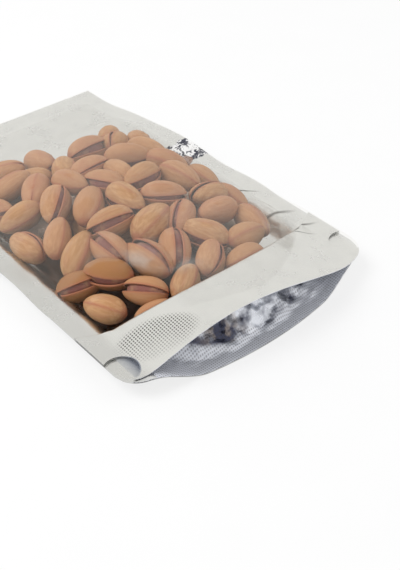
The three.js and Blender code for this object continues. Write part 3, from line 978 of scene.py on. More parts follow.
@dataclass(frozen=True)
class ClearFilmFinish:
    """Clear film with a milky bloom, which one corner of the window lacks, and knurled seals.

    A smear is (first point, second point, width, bloom), in millimetres.
    """

    name: str = "clear_film"
    bloom: float = 0.05
    wiped_bloom: float = 0.003
    bloom_colour: Colour = (0.66, 0.64, 0.60, 1.0)
    gloss: float = 0.045
    dot_pitch: float = 1.6
    wiped: tuple[float, float, float, float] = (-54.0, -70.0, 28.0, 29.0)
    smears: tuple[tuple[float, ...], ...] = (
        (-32.0, -46.0, -8.0, -74.0, 7.0, 0.22), (45.0, -50.0, 29.0, -84.0, 8.0, 0.6))

    def build(self, knurl: NodeTree, mask: NodeTree) -> Material:
        """Builds the material.

        Args:
            knurl: the pressed dots' group.
            mask: the group that says where the seals are.

        Returns:
            The material.
        """
        material, tree = new_material(self.name)
        place = tree.object_place()
        dots = tree.group(knurl, Place=place, Pitch=self.dot_pitch * MM)["Height"]
        sealed = tree.group(mask, Place=place)["Mask"]
        cloud = tree.ramp(tree.noise(place, 28.0, 2.0), 0.3, 0.75, 0.75, 1.25)
        level = cloud * tree.ramp(self.milky(tree, place), 0.0, 1.0, self.wiped_bloom, self.bloom)
        for smear in self.smears:
            level = level + self.smeared(tree, place, smear)
        bloom = level * (sealed * -0.8 + 1.0)
        waves = tree.add("Bump", Strength=0.06, Distance=0.6 * MM, Height=tree.noise(place, 60.0, 1.0))
        knurled = tree.add("Bump", Strength=0.01, Distance=0.1 * MM, Height=dots * sealed)
        tree.feed(knurled.inputs["Normal"], waves.outputs[0])
        normal = knurled.outputs[0]
        see = tree.add("BsdfTransparent", Color=(0.99, 0.988, 0.98, 1.0))
        haze = tree.add("BsdfDiffuse", Color=self.bloom_colour, Normal=normal)
        shine = tree.add("BsdfGlossy", Color=(1.0, 1.0, 1.0, 1.0), Roughness=0.16, Normal=normal)
        mirror = tree.add("Fresnel", IOR=1.36, Normal=normal)
        share = tree.maths("MULTIPLY", mirror.outputs[0], self.gloss)
        hazed = tree.mixed(bloom, see.outputs[0], haze.outputs[0])
        tree.surface(tree.mixed(share, hazed, shine.outputs[0]))
        return material

    def milky(self, tree: Tree, place: NodeSocket) -> Term:
        """Where the film is milky, from 0 in the clear corner to 1.

        Args:
            tree: the material's tree.
            place: object coordinates.

        Returns:
            The mask, from 0 to 1.
        """
        x, y, _ = tree.axes(place)
        ragged = tree.oval(x, y, self.wiped, 4.0) + tree.noise(place, 45.0, 1.0) * 0.5
        return tree.ramp(ragged, 0.9, 1.7)

    def smeared(self, tree: Tree, place: NodeSocket, smear: tuple[float, ...]) -> Term:
        """The extra bloom of one smear.

        Args:
            tree: the material's tree.
            place: object coordinates.
            smear: its first point, second point, width and bloom.

        Returns:
            The bloom, from 0 to the smear's own.
        """
        x, y, _ = tree.axes(place)
        x0, y0, x1, y1, width, bloom = smear
        length = math.hypot(x1 - x0, y1 - y0) * MM
        along, off = tree.turned(x, y, (x0, y0), math.atan2(y1 - y0, x1 - x0))
        held = tree.ramp(abs(along - length / 2), length * 0.6, length * 0.2)
        cloudy = tree.ramp(tree.noise(place, 90.0, 2.0), 0.3, 0.7, 0.0, bloom)
        return cloudy * tree.ramp(abs(off), width * MM, 0.0) * held


@dataclass(frozen=True)
class ShellFinish:
    """Dry pistachio shell: tan, streaked along its length, reddish at its hinge and along its rims, with
    painted shade inside its hollow.
    """

    name: str = "pistachio_shell"
    pale: Colour = (0.60, 0.355, 0.18, 1.0)
    tan: Colour = (0.46, 0.235, 0.10, 1.0)
    pink: Colour = (0.52, 0.25, 0.16, 1.0)
    red: Colour = (0.42, 0.155, 0.09, 1.0)
    # painted shade inside the shell's hollow
    inside: Colour = (0.30, 0.17, 0.11, 1.0)
    deep: Colour = (0.34, 0.15, 0.05, 1.0)

    def build(self) -> Material:
        """Builds the material from the nut's own coordinates, kept on its vertices.

        Returns:
            The material.
        """
        material, tree = new_material(self.name)
        own = tree.add("Attribute", attribute_name="nut_place").outputs["Vector"]
        marks = tree.add("Attribute", attribute_name="nut_marks").outputs["Vector"]
        rim, tone, inner = tree.axes(marks)
        stretch = tree.add("Mapping", Vector=own, Scale=(6.0, 0.8, 6.0))
        shifted = tree.row("VectorMath", stretch.outputs[0], tone * 37.0).outputs[0]
        streaks = tree.noise(shifted, 1.6, 5.0, 0.6)
        patches = tree.noise(shifted, 0.5, 2.0)
        colour = tree.blend(tree.ramp(streaks, 0.35, 0.7), self.tan, self.pale)
        colour = tree.blend(tone * 0.7, colour, self.tan)
        colour = tree.blend(tree.maths("FRACT", tone * 7.3) * 0.45, colour, self.pink)
        colour = tree.blend(tree.ramp(tone, 0.96, 0.99, 0.0, 0.75), colour, self.deep)
        colour = tree.blend(tree.ramp(patches, 0.5, 0.75, 0.0, 0.35), colour, self.red)
        colour = tree.blend(rim * 0.8, colour, self.red)
        # painted shade: the inside of the shell darker, as shade falls in its hollow
        colour = tree.blend(inner, colour, self.inside)
        ribs = tree.add("Bump", Strength=0.35, Distance=0.25 * MM, Height=streaks)
        rough = tree.ramp(streaks, 0.2, 0.8, 0.5, 0.68)
        shader = tree.add("BsdfPrincipled", Base_Color=colour, Roughness=rough, Normal=ribs.outputs[0])
        shader.inputs["Specular IOR Level"].default_value = 0.35
        tree.surface(shader.outputs[0])
        return material


@dataclass(frozen=True)
class KernelFinish:
    """Pistachio kernel in its skin: dull red-brown with a greenish hint."""

    name: str = "pistachio_kernel"
    skin: Colour = (0.24, 0.085, 0.07, 1.0)
    pale: Colour = (0.38, 0.20, 0.12, 1.0)

    def build(self) -> Material:
        """Builds the material.

        Returns:
            The material.
        """
        material, tree = new_material(self.name)
        own = tree.add("Attribute", attribute_name="nut_place").outputs["Vector"]
        spots = tree.noise(own, 3.0, 5.0, 0.65)
        wrinkles = tree.noise(own, 6.0, 4.0, 0.7)
        colour = tree.blend(tree.ramp(spots, 0.4, 0.7), self.skin, self.pale)
        bump = tree.add("Bump", Strength=0.6, Distance=0.4 * MM, Height=wrinkles)
        rough = tree.ramp(spots, 0.3, 0.7, 0.45, 0.65)
        shader = tree.add("BsdfPrincipled", Base_Color=colour, Roughness=rough, Normal=bump.outputs[0])
        tree.surface(shader.outputs[0])
        return material


# Pistachios


class Split(Enum):
    """How wide a shell has opened, as the turn of each half in degrees."""

    CLOSED = 0.6
    NARROW = 3.0
    OPEN = 6.5
    WIDE = 10.5


@dataclass
class PistachioMaker:
    """Models each kind of nut once and copies it to every place.

    A master lies along +Y from hinge to tip, with its split on the +Z side, in millimetres.
    """

    shell: Material
    kernel: Material
    length: float = 21.5
    width: float = 12.4
    depth: float = 11.6
    wall: float = 0.75
    rounds: int = 28
    rings: int = 18
    rim_width: float = 1.6
    rim_flare: float = 0.35
    kernel_share: tuple[float, float, float] = (0.84, 0.86, 0.87)
    masters: dict[Split, Object] = field(default_factory=dict)

    def profile(self, share: np.ndarray) -> np.ndarray:
        """Radius along the nut, as a share of its greatest."""
        return (1 - np.abs(share) ** 2.2) ** 0.58 * (1 - 0.13 * share)

    def egg(self, name: str, rounds: int, rings: int) -> Object:
        """A sphere primitive drawn out to the nut's outline.

        Args:
            name: the piece's name.
            rounds: its faces round the nut.
            rings: its faces along the nut.

        Returns:
            The piece.
        """
        bpy.ops.object.select_all(action="DESELECT")
        turned = (math.pi / 2, 0.0, 0.0)
        bpy.ops.mesh.primitive_uv_sphere_add(segments=rounds, ring_count=rings, radius=1.0, rotation=turned)
        bpy.ops.object.transform_apply(rotation=True)
        piece = bpy.context.active_object
        piece.name = piece.data.name = name
        points = points_of(piece)
        share = np.sign(points[:, 1]) * np.abs(points[:, 1]) ** 1.05
        radius = np.hypot(points[:, 0], points[:, 2])
        wanted = self.profile(np.clip(share, -1, 1))
        grow = np.where(radius > 1e-4, wanted / np.maximum(radius, 1e-4), 0)
        points[:, 0] *= grow * self.width / 2
        points[:, 2] *= grow * self.depth / 2
        points[:, 1] = share * self.length / 2
        set_points(piece, points)
        return piece

    def half_shell(self) -> Object:
        """One half of the shell: the egg cut at its suture, thickened inwards and rimmed.

        Returns:
            The half at +X.
        """
        piece = only(self.egg("half_shell", self.rounds, self.rings))
        bpy.ops.object.mode_set(mode="EDIT")
        bpy.ops.mesh.select_all(action="SELECT")
        bpy.ops.mesh.bisect(plane_co=(0, 0, 0), plane_no=(1, 0, 0), clear_inner=True, use_fill=False)
        bpy.ops.object.mode_set(mode="OBJECT")
        points = points_of(piece)
        near = np.clip(1 - points[:, 0] / self.rim_width, 0, 1)
        flare = self.rim_flare * near**2
        points[:, 2] += np.sign(points[:, 2]) * flare * (np.abs(points[:, 2]) > 1.0)
        set_points(piece, points)
        apply_modifier(piece, "SOLIDIFY", thickness=self.wall, offset=-1.0, use_even_offset=True)
        sharp = math.radians(50)
        apply_modifier(piece, "BEVEL", width=0.22, segments=2, limit_method="ANGLE", angle_limit=sharp)
        return piece

    def opened(self, piece: Object, split: Split, side: int) -> None:
        """Turns a half about the hinge line that runs from the base along its back.

        Args:
            piece: the half.
            split: how wide the nut opens.
            side: 1 for the half at +X, and -1 for the other.
        """
        base = Vector((0, -self.length / 2, -0.5))
        back = Vector((0, self.length * 0.28, -self.depth / 2))
        axis = (back - base).normalized()
        turn = Matrix.Rotation(math.radians(split.value) * side, 4, axis)
        piece.data.transform(Matrix.Translation(base) @ turn @ Matrix.Translation(-base))

    def marked(self, piece: Object) -> None:
        """Keeps each vertex's place in the closed nut, and its rim and inner marks, on the mesh. The inner
        mark says where the shell's hollow gets painted shade.

        Args:
            piece: a half shell or the kernel.
        """
        points = points_of(piece)
        place = piece.data.attributes.new("nut_place", "FLOAT_VECTOR", "POINT")
        place.data.foreach_set("vector", (points / 10).astype(np.float32).ravel())
        share = np.clip(points[:, 1] / (self.length / 2), -1, 1)
        outer = self.profile(share)
        across = points[:, 0] / (self.width / 2)
        up = points[:, 2] / (self.depth / 2)
        reach = np.hypot(across, up) / np.maximum(outer, 0.05)
        inside = np.clip((0.93 - reach) / 0.05, 0, 1) * (np.abs(share) < 0.93)
        rim = np.clip(1 - points[:, 0] / 1.5, 0, 1) ** 2
        hinge = np.clip((-share - 0.86) / 0.1, 0, 1)
        marks = np.stack([np.maximum(rim, hinge), np.zeros(len(points)), inside], axis=1)
        layer = piece.data.attributes.new("nut_marks", "FLOAT_VECTOR", "POINT")
        layer.data.foreach_set("vector", marks.astype(np.float32).ravel())

    def kernel_piece(self) -> Object:
        """The kernel, a smaller lumpy egg inside the shell.

        Returns:
            The piece.
        """
        piece = self.egg("kernel", 20, 12)
        points = points_of(piece) * np.array(self.kernel_share)
        ridge = 0.25 * np.sin(points[:, 1] * 1.3) * np.sin(points[:, 0] * 1.1 + 1.0)
        points[:, 2] += ridge
        points[:, 1] -= 0.5
        set_points(piece, points)
        self.marked(piece)
        piece.data.materials.append(self.kernel)
        return piece

    def master(self, split: Split) -> Object:
        """The whole nut of one kind: two halves and a kernel joined in one mesh.

        Args:
            split: how wide the nut opens.

        Returns:
            The master, made at the first call.
        """
        if split in self.masters:
            return self.masters[split]
        right = self.half_shell()
        self.marked(right)
        right.data.materials.append(self.shell)
        left = right.copy()
        left.data = right.data.copy()
        bpy.context.collection.objects.link(left)
        left.data.transform(Matrix.Diagonal((-1, 1, 1, 1)))
        left.data.flip_normals()
        self.opened(right, split, 1)
        self.opened(left, split, -1)
        whole = joined([right, left, self.kernel_piece()], "master_" + split.name.lower())
        smooth_by_angle(whole, 40)
        self.masters[split] = whole
        return whole

    def copy(self, name: str, split: Split, placing: Matrix, tone: float) -> Object:
        """A copy of a master with its own mesh.

        Args:
            name: the copy's name.
            split: the kind of nut.
            placing: from the master's millimetres to metres in the frame.
            tone: how dark the shell is, from 0 to 1.

        Returns:
            The copy.
        """
        source = self.master(split)
        piece = source.copy()
        piece.data = source.data.copy()
        piece.name = piece.data.name = name
        bpy.context.collection.objects.link(piece)
        piece.data.transform(placing)
        layer = piece.data.attributes["nut_marks"].data
        marks = np.empty(len(layer) * 3, np.float32)
        layer.foreach_get("vector", marks)
        marks[1::3] = tone
        layer.foreach_set("vector", marks)
        return piece

    def discard_masters(self) -> None:
        """Removes the masters once every copy is made."""
        for piece in self.masters.values():
            bpy.data.meshes.remove(piece.data)
        self.masters.clear()


@dataclass
class Filling:
    """The nuts: a layer under the window, each on its own node, and the bed under it."""

    maker: PistachioMaker
    bed_pitch_across: float = 9.2
    bed_pitch_along: float = 17.4
    bed_columns: int = 5
    bed_rows: int = 4
    bed_start: float = 62.0
    bed_size: float = 0.9
    wide: tuple[int, ...] = (1, 2, 7, 9, 10, 14, 25, 27, 29, 32, 33, 34, 36)
    open: tuple[int, ...] = (4, 8, 13, 16, 20, 26)
    closed: tuple[int, ...] = (3, 5, 12, 15, 17, 18, 19, 22, 24, 30, 31, 37, 38, 39)
    dark: tuple[int, ...] = (11, 36)
    deep: tuple[int, ...] = (33, 34)
    growth: float = 1.06
    film_give: float = 0.9
    nudges: dict[int, tuple[float, float, float]] = field(default_factory=lambda: {
        1: (0.6, -3.0, 0.8), 2: (-1.5, -5.1, 0.4), 3: (-1.5, 3.8, 0.6), 4: (0.9, 2.9, -1.5),
        5: (-0.5, -3.2, 0.0), 6: (-2.3, -1.8, 0.0), 7: (-2.6, -2.0, -0.6), 8: (-5.3, -2.2, -0.5),
        9: (-1.1, 3.7, -0.4), 13: (2.6, 0.0, 0.4), 18: (-2.9, 3.6, 0.8), 19: (-1.8, -0.6, 1.2),
        20: (0.2, 2.1, 0.0), 21: (0.5, 2.9, 0.0), 22: (-2.9, -0.4, 1.6), 23: (-3.2, 1.1, 1.0),
        24: (-3.1, 3.5, 0.0), 25: (-1.8, 1.3, 1.4), 26: (-2.2, 0.7, -0.6), 27: (-1.5, 2.3, -0.4),
        28: (-2.0, 2.0, -0.6), 29: (0.9, 2.9, 0.0), 30: (-1.7, 2.1, 0.4), 31: (-2.2, -0.4, 2.8),
        32: (2.0, 1.0, 0.4), 33: (-4.6, 7.0, 5.6), 34: (-2.2, 3.1, -2.4), 36: (2.7, 1.0, 0.0),
        37: (0.0, 0.7, 2.4), 38: (-1.8, 0.5, -1.0), 39: (0.2, 2.5, 1.8), 42: (-1.5, -2.5, 0.0)})

    def split_of(self, number: int) -> Split:
        """Looks up how wide a nut is open.

        Args:
            number: the nut's number.

        Returns:
            The kind of nut.
        """
        if number in self.wide:
            return Split.WIDE
        if number in self.open:
            return Split.OPEN
        if number in self.closed:
            return Split.CLOSED
        return (Split.NARROW, Split.OPEN, Split.CLOSED)[number % 3]

    def pose_of(self, node: Object) -> Matrix:
        """Reads a nut's place from its solid.

        Args:
            node: the nut's solid, whose groove marks the split side.

        Returns:
            The master's placing in the frame, grown to the nut's size.
        """
        points = np.unique(points_of(node).round(6), axis=0) / MM
        gaps = np.linalg.norm(points[:, None] - points[None], axis=2)
        a, b = np.unravel_index(gaps.argmax(), gaps.shape)
        axis = (points[b] - points[a]) / gaps[a, b]
        centre = (points[a] + points[b]) / 2
        share = (points - centre) @ axis / (gaps[a, b] / 2)
        radial = points - centre - np.outer((points - centre) @ axis, axis)
        reach = np.linalg.norm(radial, axis=1)
        front, rear = (share > 0.2) & (share < 0.6), (share < -0.2) & (share > -0.6)
        if np.sort(reach[front])[-6:].mean() > np.sort(reach[rear])[-6:].mean():
            axis, front = -axis, rear
        groove = np.where(front)[0][reach[front].argmin()]
        up = radial[groove] / reach[groove]
        side = np.cross(axis, up)
        size = gaps[a, b] / self.maker.length
        columns = np.stack([side * size * MM, axis * size * MM, up * size * MM, centre * MM], axis=1)
        return Matrix(columns.tolist() + [[0, 0, 0, 1]])

    def lowered(self, piece: Object, shape: PouchShape) -> None:
        """Lowers a nut until the film can lie over it.

        Args:
            piece: the nut.
            shape: the pouch's sizes.
        """
        points = points_of(piece) / MM
        v = shape.up_from(points[:, 0], points[:, 1])
        over = (points[:, 2] - shape.front(points[:, 0], v)).max() - self.film_give
        if over > 0:
            piece.data.transform(Matrix.Translation((0, 0, -over * MM)))

    def shown_layer(self, shape: PouchShape) -> list[Object]:
        """The nuts under the window, each in place of its solid.

        Args:
            shape: the pouch's sizes.

        Returns:
            The nuts.
        """
        pieces = []
        names = sorted(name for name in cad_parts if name.startswith("pistachio_"))
        for name in names:
            number = int(name.rsplit("_", 1)[1])
            nudge = Matrix.Translation(Vector(self.nudges.get(number, (0, 0, 0))) * MM)
            placing = nudge @ self.pose_of(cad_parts[name]) @ Matrix.Scale(self.growth, 4)
            tone = 0.9 if number in self.dark else (number * 0.381) % 0.95
            tone = 1.0 if number in self.deep else tone
            piece = self.maker.copy("nut_" + name.rsplit("_", 1)[1], self.split_of(number), placing, tone)
            self.lowered(piece, shape)
            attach(piece, ROOT)
            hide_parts(name)
            pieces.append(piece)
        return pieces

    def bed_placing(self, column: int, line: int, shape: PouchShape) -> Matrix:
        """Where a nut of the bed lies.

        Args:
            column: its column.
            line: its row.
            shape: the pouch's sizes.

        Returns:
            The master's placing in the frame.
        """
        x = (column - (self.bed_columns - 1) / 2) * self.bed_pitch_across
        stagger = (column % 2) * self.bed_pitch_along / 2
        y = shape.bottom + self.bed_start + line * self.bed_pitch_along + stagger
        z = shape.pitch + self.maker.width / 2 * self.bed_size
        turn = math.radians(((column * 7 + line * 5) % 5 - 2) * 4)
        roll = math.radians((column * 83 + line * 47) % 360)
        place = Matrix.Translation(Vector((x, y, z)) * MM) @ Matrix.Rotation(turn, 4, "Z")
        return place @ Matrix.Rotation(roll, 4, "Y") @ Matrix.Scale(self.bed_size * MM, 4)

    def bed(self, shape: PouchShape) -> Object:
        """The lower nuts, joined in one piece.

        Args:
            shape: the pouch's sizes.

        Returns:
            The piece.
        """
        parts = []
        for column in range(self.bed_columns):
            for line in range(self.bed_rows - column % 2):
                split = (Split.NARROW, Split.CLOSED)[(column + line) % 2]
                tone = ((column * 5 + line) * 0.23) % 1.0
                placing = self.bed_placing(column, line, shape)
                parts.append(self.maker.copy("lower_nut", split, placing, tone))
        piece = joined(parts, "lower_nuts")
        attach(piece, ROOT)
        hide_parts("lower_pistachios")
        return piece

    def build(self, shape: PouchShape) -> list[Object]:
        """Builds all the nuts.

        Args:
            shape: the pouch's sizes.

        Returns:
            The pieces.
        """
        pieces = self.shown_layer(shape) + [self.bed(shape)]
        self.maker.discard_masters()
        log.info("filling: %d pieces", len(pieces))
        return pieces


# Films


@dataclass
class FrontFilm:
    """The clear front film: stretched over the nuts, with creases where the filling ends.

    A fold is (first point, second point, height, width), in millimetres.
    """

    shape: PouchShape
    finish: Material
    columns: int = 150
    rows: int = 240
    clearance: float = 0.35
    rounds: int = 160
    pull: float = 0.006
    deepest: float = 2.2
    settling: int = 6
    folds: tuple[tuple[float, ...], ...] = (
        (38.0, -44.0, 53.0, -53.0, 1.3, 1.2), (36.0, -60.0, 52.0, -67.0, 0.9, 1.3),
        (30.0, -69.0, 50.0, -76.0, 0.5, 1.6), (42.0, -20.0, 52.0, 6.0, -0.6, 2.2))

    def nut_tops(self, x: np.ndarray, y: np.ndarray, nuts: list[Object]) -> np.ndarray:
        """Height of the nuts under each point of the film, in millimetres, or 0.

        Args:
            x: the points' places across.
            y: their places along.
            nuts: the nuts.

        Returns:
            The heights.
        """
        vertices, faces, start = [], [], 0
        for nut in nuts:
            points = points_of(nut) / MM
            vertices.extend(points.tolist())
            faces.extend([[i + start for i in face.vertices] for face in nut.data.polygons])
            start += len(points)
        tree = BVHTree.FromPolygons(vertices, faces)
        tops = np.zeros(len(x))
        down = Vector((0, 0, -1))
        for i, (px, py) in enumerate(zip(x, y)):
            hit = tree.ray_cast(Vector((px, py, 60.0)), down)[0]
            tops[i] = hit.z if hit else 0.0
        return tops

    def creases(self, x: np.ndarray, y: np.ndarray) -> np.ndarray:
        """The creases that the film shows beside the filling, each fading at both ends.

        Args:
            x: the points' places across.
            y: their places along.

        Returns:
            The heights to add.
        """
        total = np.zeros_like(x)
        for x0, y0, x1, y1, height, width in self.folds:
            run_x, run_y = x1 - x0, y1 - y0
            length = math.hypot(run_x, run_y)
            along = ((x - x0) * run_x + (y - y0) * run_y) / length**2
            off = ((x - x0) * -run_y + (y - y0) * run_x) / length
            fade = np.clip(along, 0, 1) * np.clip(1 - along, 0, 1) * 4
            total += height * np.clip(fade, 0, 1) ** 0.7 * np.exp(-np.abs(off) / width)
        return total

    def stretched(self, height: np.ndarray, tops: np.ndarray, free: np.ndarray) -> np.ndarray:
        """Lets the film sink until it is taut over the nuts.

        Args:
            height: the film's first height at each point of its grid.
            tops: the least height that the nuts allow.
            free: how far each point may follow, from 0 to 1.

        Returns:
            The film's height.
        """
        held = np.where(free > 0, tops, 0)
        z = np.maximum(height, held)
        for _ in range(self.rounds):
            mean = z.copy()
            mean[1:-1, 1:-1] = (z[:-2, 1:-1] + z[2:, 1:-1] + z[1:-1, :-2] + z[1:-1, 2:]) / 4
            sunk = np.maximum(mean - self.pull, height - self.deepest)
            z = np.maximum(mix(height, sunk, free), held)
        for _ in range(self.settling):
            z[1:-1, 1:-1] = (z[:-2, 1:-1] + z[2:, 1:-1] + z[1:-1, :-2] + z[1:-1, 2:]) / 8 + z[1:-1, 1:-1] / 2
            z = np.maximum(z, held)
        return z

    def build(self, nuts: list[Object]) -> Object:
        """Builds the film over the nuts.

        Args:
            nuts: the nuts that it lies on.

        Returns:
            The film.
        """
        shape = self.shape
        piece, u, w = grid_sheet("front_film", self.columns, self.rows)
        x = (u * 2 - 1) * shape.half
        v = w * shape.length
        y = shape.along(x, v) + shape.setback(x, v)
        z = shape.front(x, v)
        tops = self.nut_tops(x, y, nuts) + self.clearance
        grid = (self.rows + 1, self.columns + 1)
        inside = 1 - smooth(np.abs(x), shape.inner - 9, shape.inner)
        filled = smooth(v, shape.gusset_depth - 4, shape.gusset_depth + 12)
        filled *= 1 - smooth(v, shape.fill_length - 2, shape.fill_length + 16)
        free = (inside * filled).reshape(grid)
        sunk = self.stretched(z.reshape(grid), tops.reshape(grid), free).ravel()
        sunk += self.creases(x, y) * (np.abs(x) < shape.inner)
        lowest = shape.back(x, v) + shape.pitch
        sunk = np.minimum(np.maximum(sunk, lowest), z + 1.6)
        set_points(piece, np.stack([x, y, sunk + shape.film / 2], axis=1) * MM)
        apply_modifier(piece, "SOLIDIFY", thickness=shape.film * MM, offset=0.0)
        smooth_by_angle(piece, 60)
        piece.data.materials.append(self.finish)
        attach(piece, ROOT)
        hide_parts("front_panel")
        log.info("front film: %d faces", len(piece.data.polygons))
        return piece


@dataclass
class BackFoil:
    """The foil back panel, flat where it rests and raised to the side seams."""

    shape: PouchShape
    finish: Material
    inner_finish: Material
    columns: int = 130
    rows: int = 150

    def face_in(self, piece: Object) -> None:
        """Gives the inner finish, with its painted reflection of the nuts and painted shade under them, to
        the faces that mirror the filling.

        Args:
            piece: the panel.
        """
        shape = self.shape
        middle, up = faces_of(piece)
        v = shape.up_from(middle[:, 0], middle[:, 1])
        filled = (v > shape.gusset_depth - 8) & (v < shape.fill_length - 2)
        filled &= (np.abs(middle[:, 0]) < shape.inner - 3) & (up > 0)
        piece.data.polygons.foreach_set("material_index", filled.astype(np.int32))

    def build(self) -> Object:
        """Builds the panel.

        Returns:
            The panel.
        """
        shape = self.shape
        piece, u, w = grid_sheet("back_foil", self.columns, self.rows)
        x = (u * 2 - 1) * shape.half
        v = w * shape.length
        z = shape.back(x, v)
        raised = smooth(np.abs(x), shape.rest_half_width, shape.rest_half_width + 4)
        raised = np.maximum(raised, 0) * (1 - smooth(np.abs(x), shape.inner - 3, shape.inner))
        z = z + 0.25 * raised * folded_noise(x, v, 16, 6, 3)
        set_points(piece, np.stack([x, shape.along(x, v), z + shape.film / 2], axis=1) * MM)
        apply_modifier(piece, "SOLIDIFY", thickness=shape.film * MM, offset=0.0)
        smooth_by_angle(piece, 60)
        piece.data.materials.append(self.finish)
        piece.data.materials.append(self.inner_finish)
        self.face_in(piece)
        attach(piece, ROOT)
        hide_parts("back_panel")
        log.info("back foil: %d faces", len(piece.data.polygons))
        return piece


@dataclass
class GussetFoil:
    """The foil gusset, folded in a lying V, crumpled inside its mouth and punched at both seams."""

    shape: PouchShape
    finish: Material
    outer_finish: Material
    columns: int = 190
    rows: int = 150
    front_share: float = 0.40
    fold_share: float = 0.08
    crumple: float = 0.9

    def legs(self, x: np.ndarray, s: np.ndarray) -> tuple[np.ndarray, np.ndarray, np.ndarray]:
        """Lays out the gusset's middle surface.

        Args:
            x: place across.
            s: share of the way from the front edge over the fold to the back edge.

        Returns:
            Y and Z of each point, and how free it is to crumple.
        """
        shape = self.shape
        fold = shape.fold(x)
        room = shape.leg_top(x, fold) - shape.leg_foot(x, fold)
        radius = np.minimum(shape.fold_radius, room / 2)
        turn = fold - radius
        top = shape.leg_top(x, turn)
        back_from = self.front_share + self.fold_share
        front_v = turn * np.clip(s / self.front_share, 0, 1)
        angle = np.pi * np.clip((s - self.front_share) / self.fold_share, 0, 1)
        share = np.clip(1 - (s - back_from) / (1 - back_from), 0, 1)
        back_v = turn * share
        rise = smooth(share, shape.back_band / fold, 1.0)
        on_front, on_back = s <= self.front_share, s >= back_from
        v = np.where(on_front, front_v, np.where(on_back, back_v, turn + radius * np.sin(angle)))
        z_front = shape.leg_top(x, front_v)
        z_fold = top - radius + radius * np.cos(angle)
        z_back = mix(shape.leg_foot(x, back_v), top - 2 * radius, rise)
        z = np.where(on_front, z_front, np.where(on_back, z_back, z_fold))
        y = shape.along(x, v) + np.where(on_front, shape.setback(x, v), 0)
        free_x = 1 - np.minimum(1, np.abs(x) / shape.inner) ** 3
        free = np.where(on_back, smooth(share, 0.14, 0.3) * (1 - smooth(share, 0.85, 1.0)), 0) * free_x
        return y, z, free

    def punch(self, piece: Object, side: int) -> None:
        """Cuts the round hole at one seam.

        Args:
            piece: the gusset.
            side: -1 for the left seam, and 1 for the right.
        """
        shape = self.shape
        bpy.ops.object.select_all(action="DESELECT")
        x, y = shape.punched
        radius, place = shape.punch_radius * MM, (side * x * MM, y * MM, shape.seam_height * MM)
        bpy.ops.mesh.primitive_cylinder_add(vertices=64, radius=radius, depth=30 * MM, location=place)
        cutter = bpy.context.active_object
        apply_modifier(piece, "BOOLEAN", operation="DIFFERENCE", object=cutter, solver="EXACT")
        bpy.data.meshes.remove(cutter.data)

    def face_out(self, piece: Object) -> None:
        """Gives the outer finish to the faces that show through the clear film.

        Args:
            piece: the gusset.
        """
        shape = self.shape
        middle, up = faces_of(piece)
        v = middle[:, 1] - shape.bottom - shape.bottom_bow * (middle[:, 0] / shape.half) ** 2
        depth = shape.front(middle[:, 0], np.clip(v, 0, None)) - middle[:, 2]
        outer = (up > 0.3) & (depth < shape.layer_gap + 1.2)
        outer |= np.abs(middle[:, 0]) > shape.half - 0.6
        x, y = shape.punched
        outer |= np.hypot(np.abs(middle[:, 0]) - x, middle[:, 1] - y) < shape.punch_radius + 0.3
        piece.data.polygons.foreach_set("material_index", outer.astype(np.int32))

    def build(self) -> Object:
        """Builds the gusset.

        Returns:
            The gusset.
        """
        shape = self.shape
        piece, u, s = grid_sheet("gusset_foil", self.columns, self.rows)
        x = (u * 2 - 1) * shape.half
        y, z, free = self.legs(x, s)
        lumps = folded_noise(x, s * 60, 22, 6, 11) + 0.4 * folded_noise(x, s * 60, 9, 7, 5)
        lift = self.crumple * free * lumps
        set_points(piece, np.stack([x, y - 0.5 * lift, z + 0.8 * lift], axis=1) * MM)
        apply_modifier(piece, "SOLIDIFY", thickness=shape.film * MM, offset=0.0)
        for side in (-1, 1):
            self.punch(piece, side)
        smooth_by_angle(piece, 50)
        piece.data.materials.clear()
        piece.data.materials.append(self.finish)
        piece.data.materials.append(self.outer_finish)
        self.face_out(piece)
        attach(piece, ROOT)
        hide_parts("bottom_gusset")
        log.info("gusset foil: %d faces", len(piece.data.polygons))
        return piece


# Stage


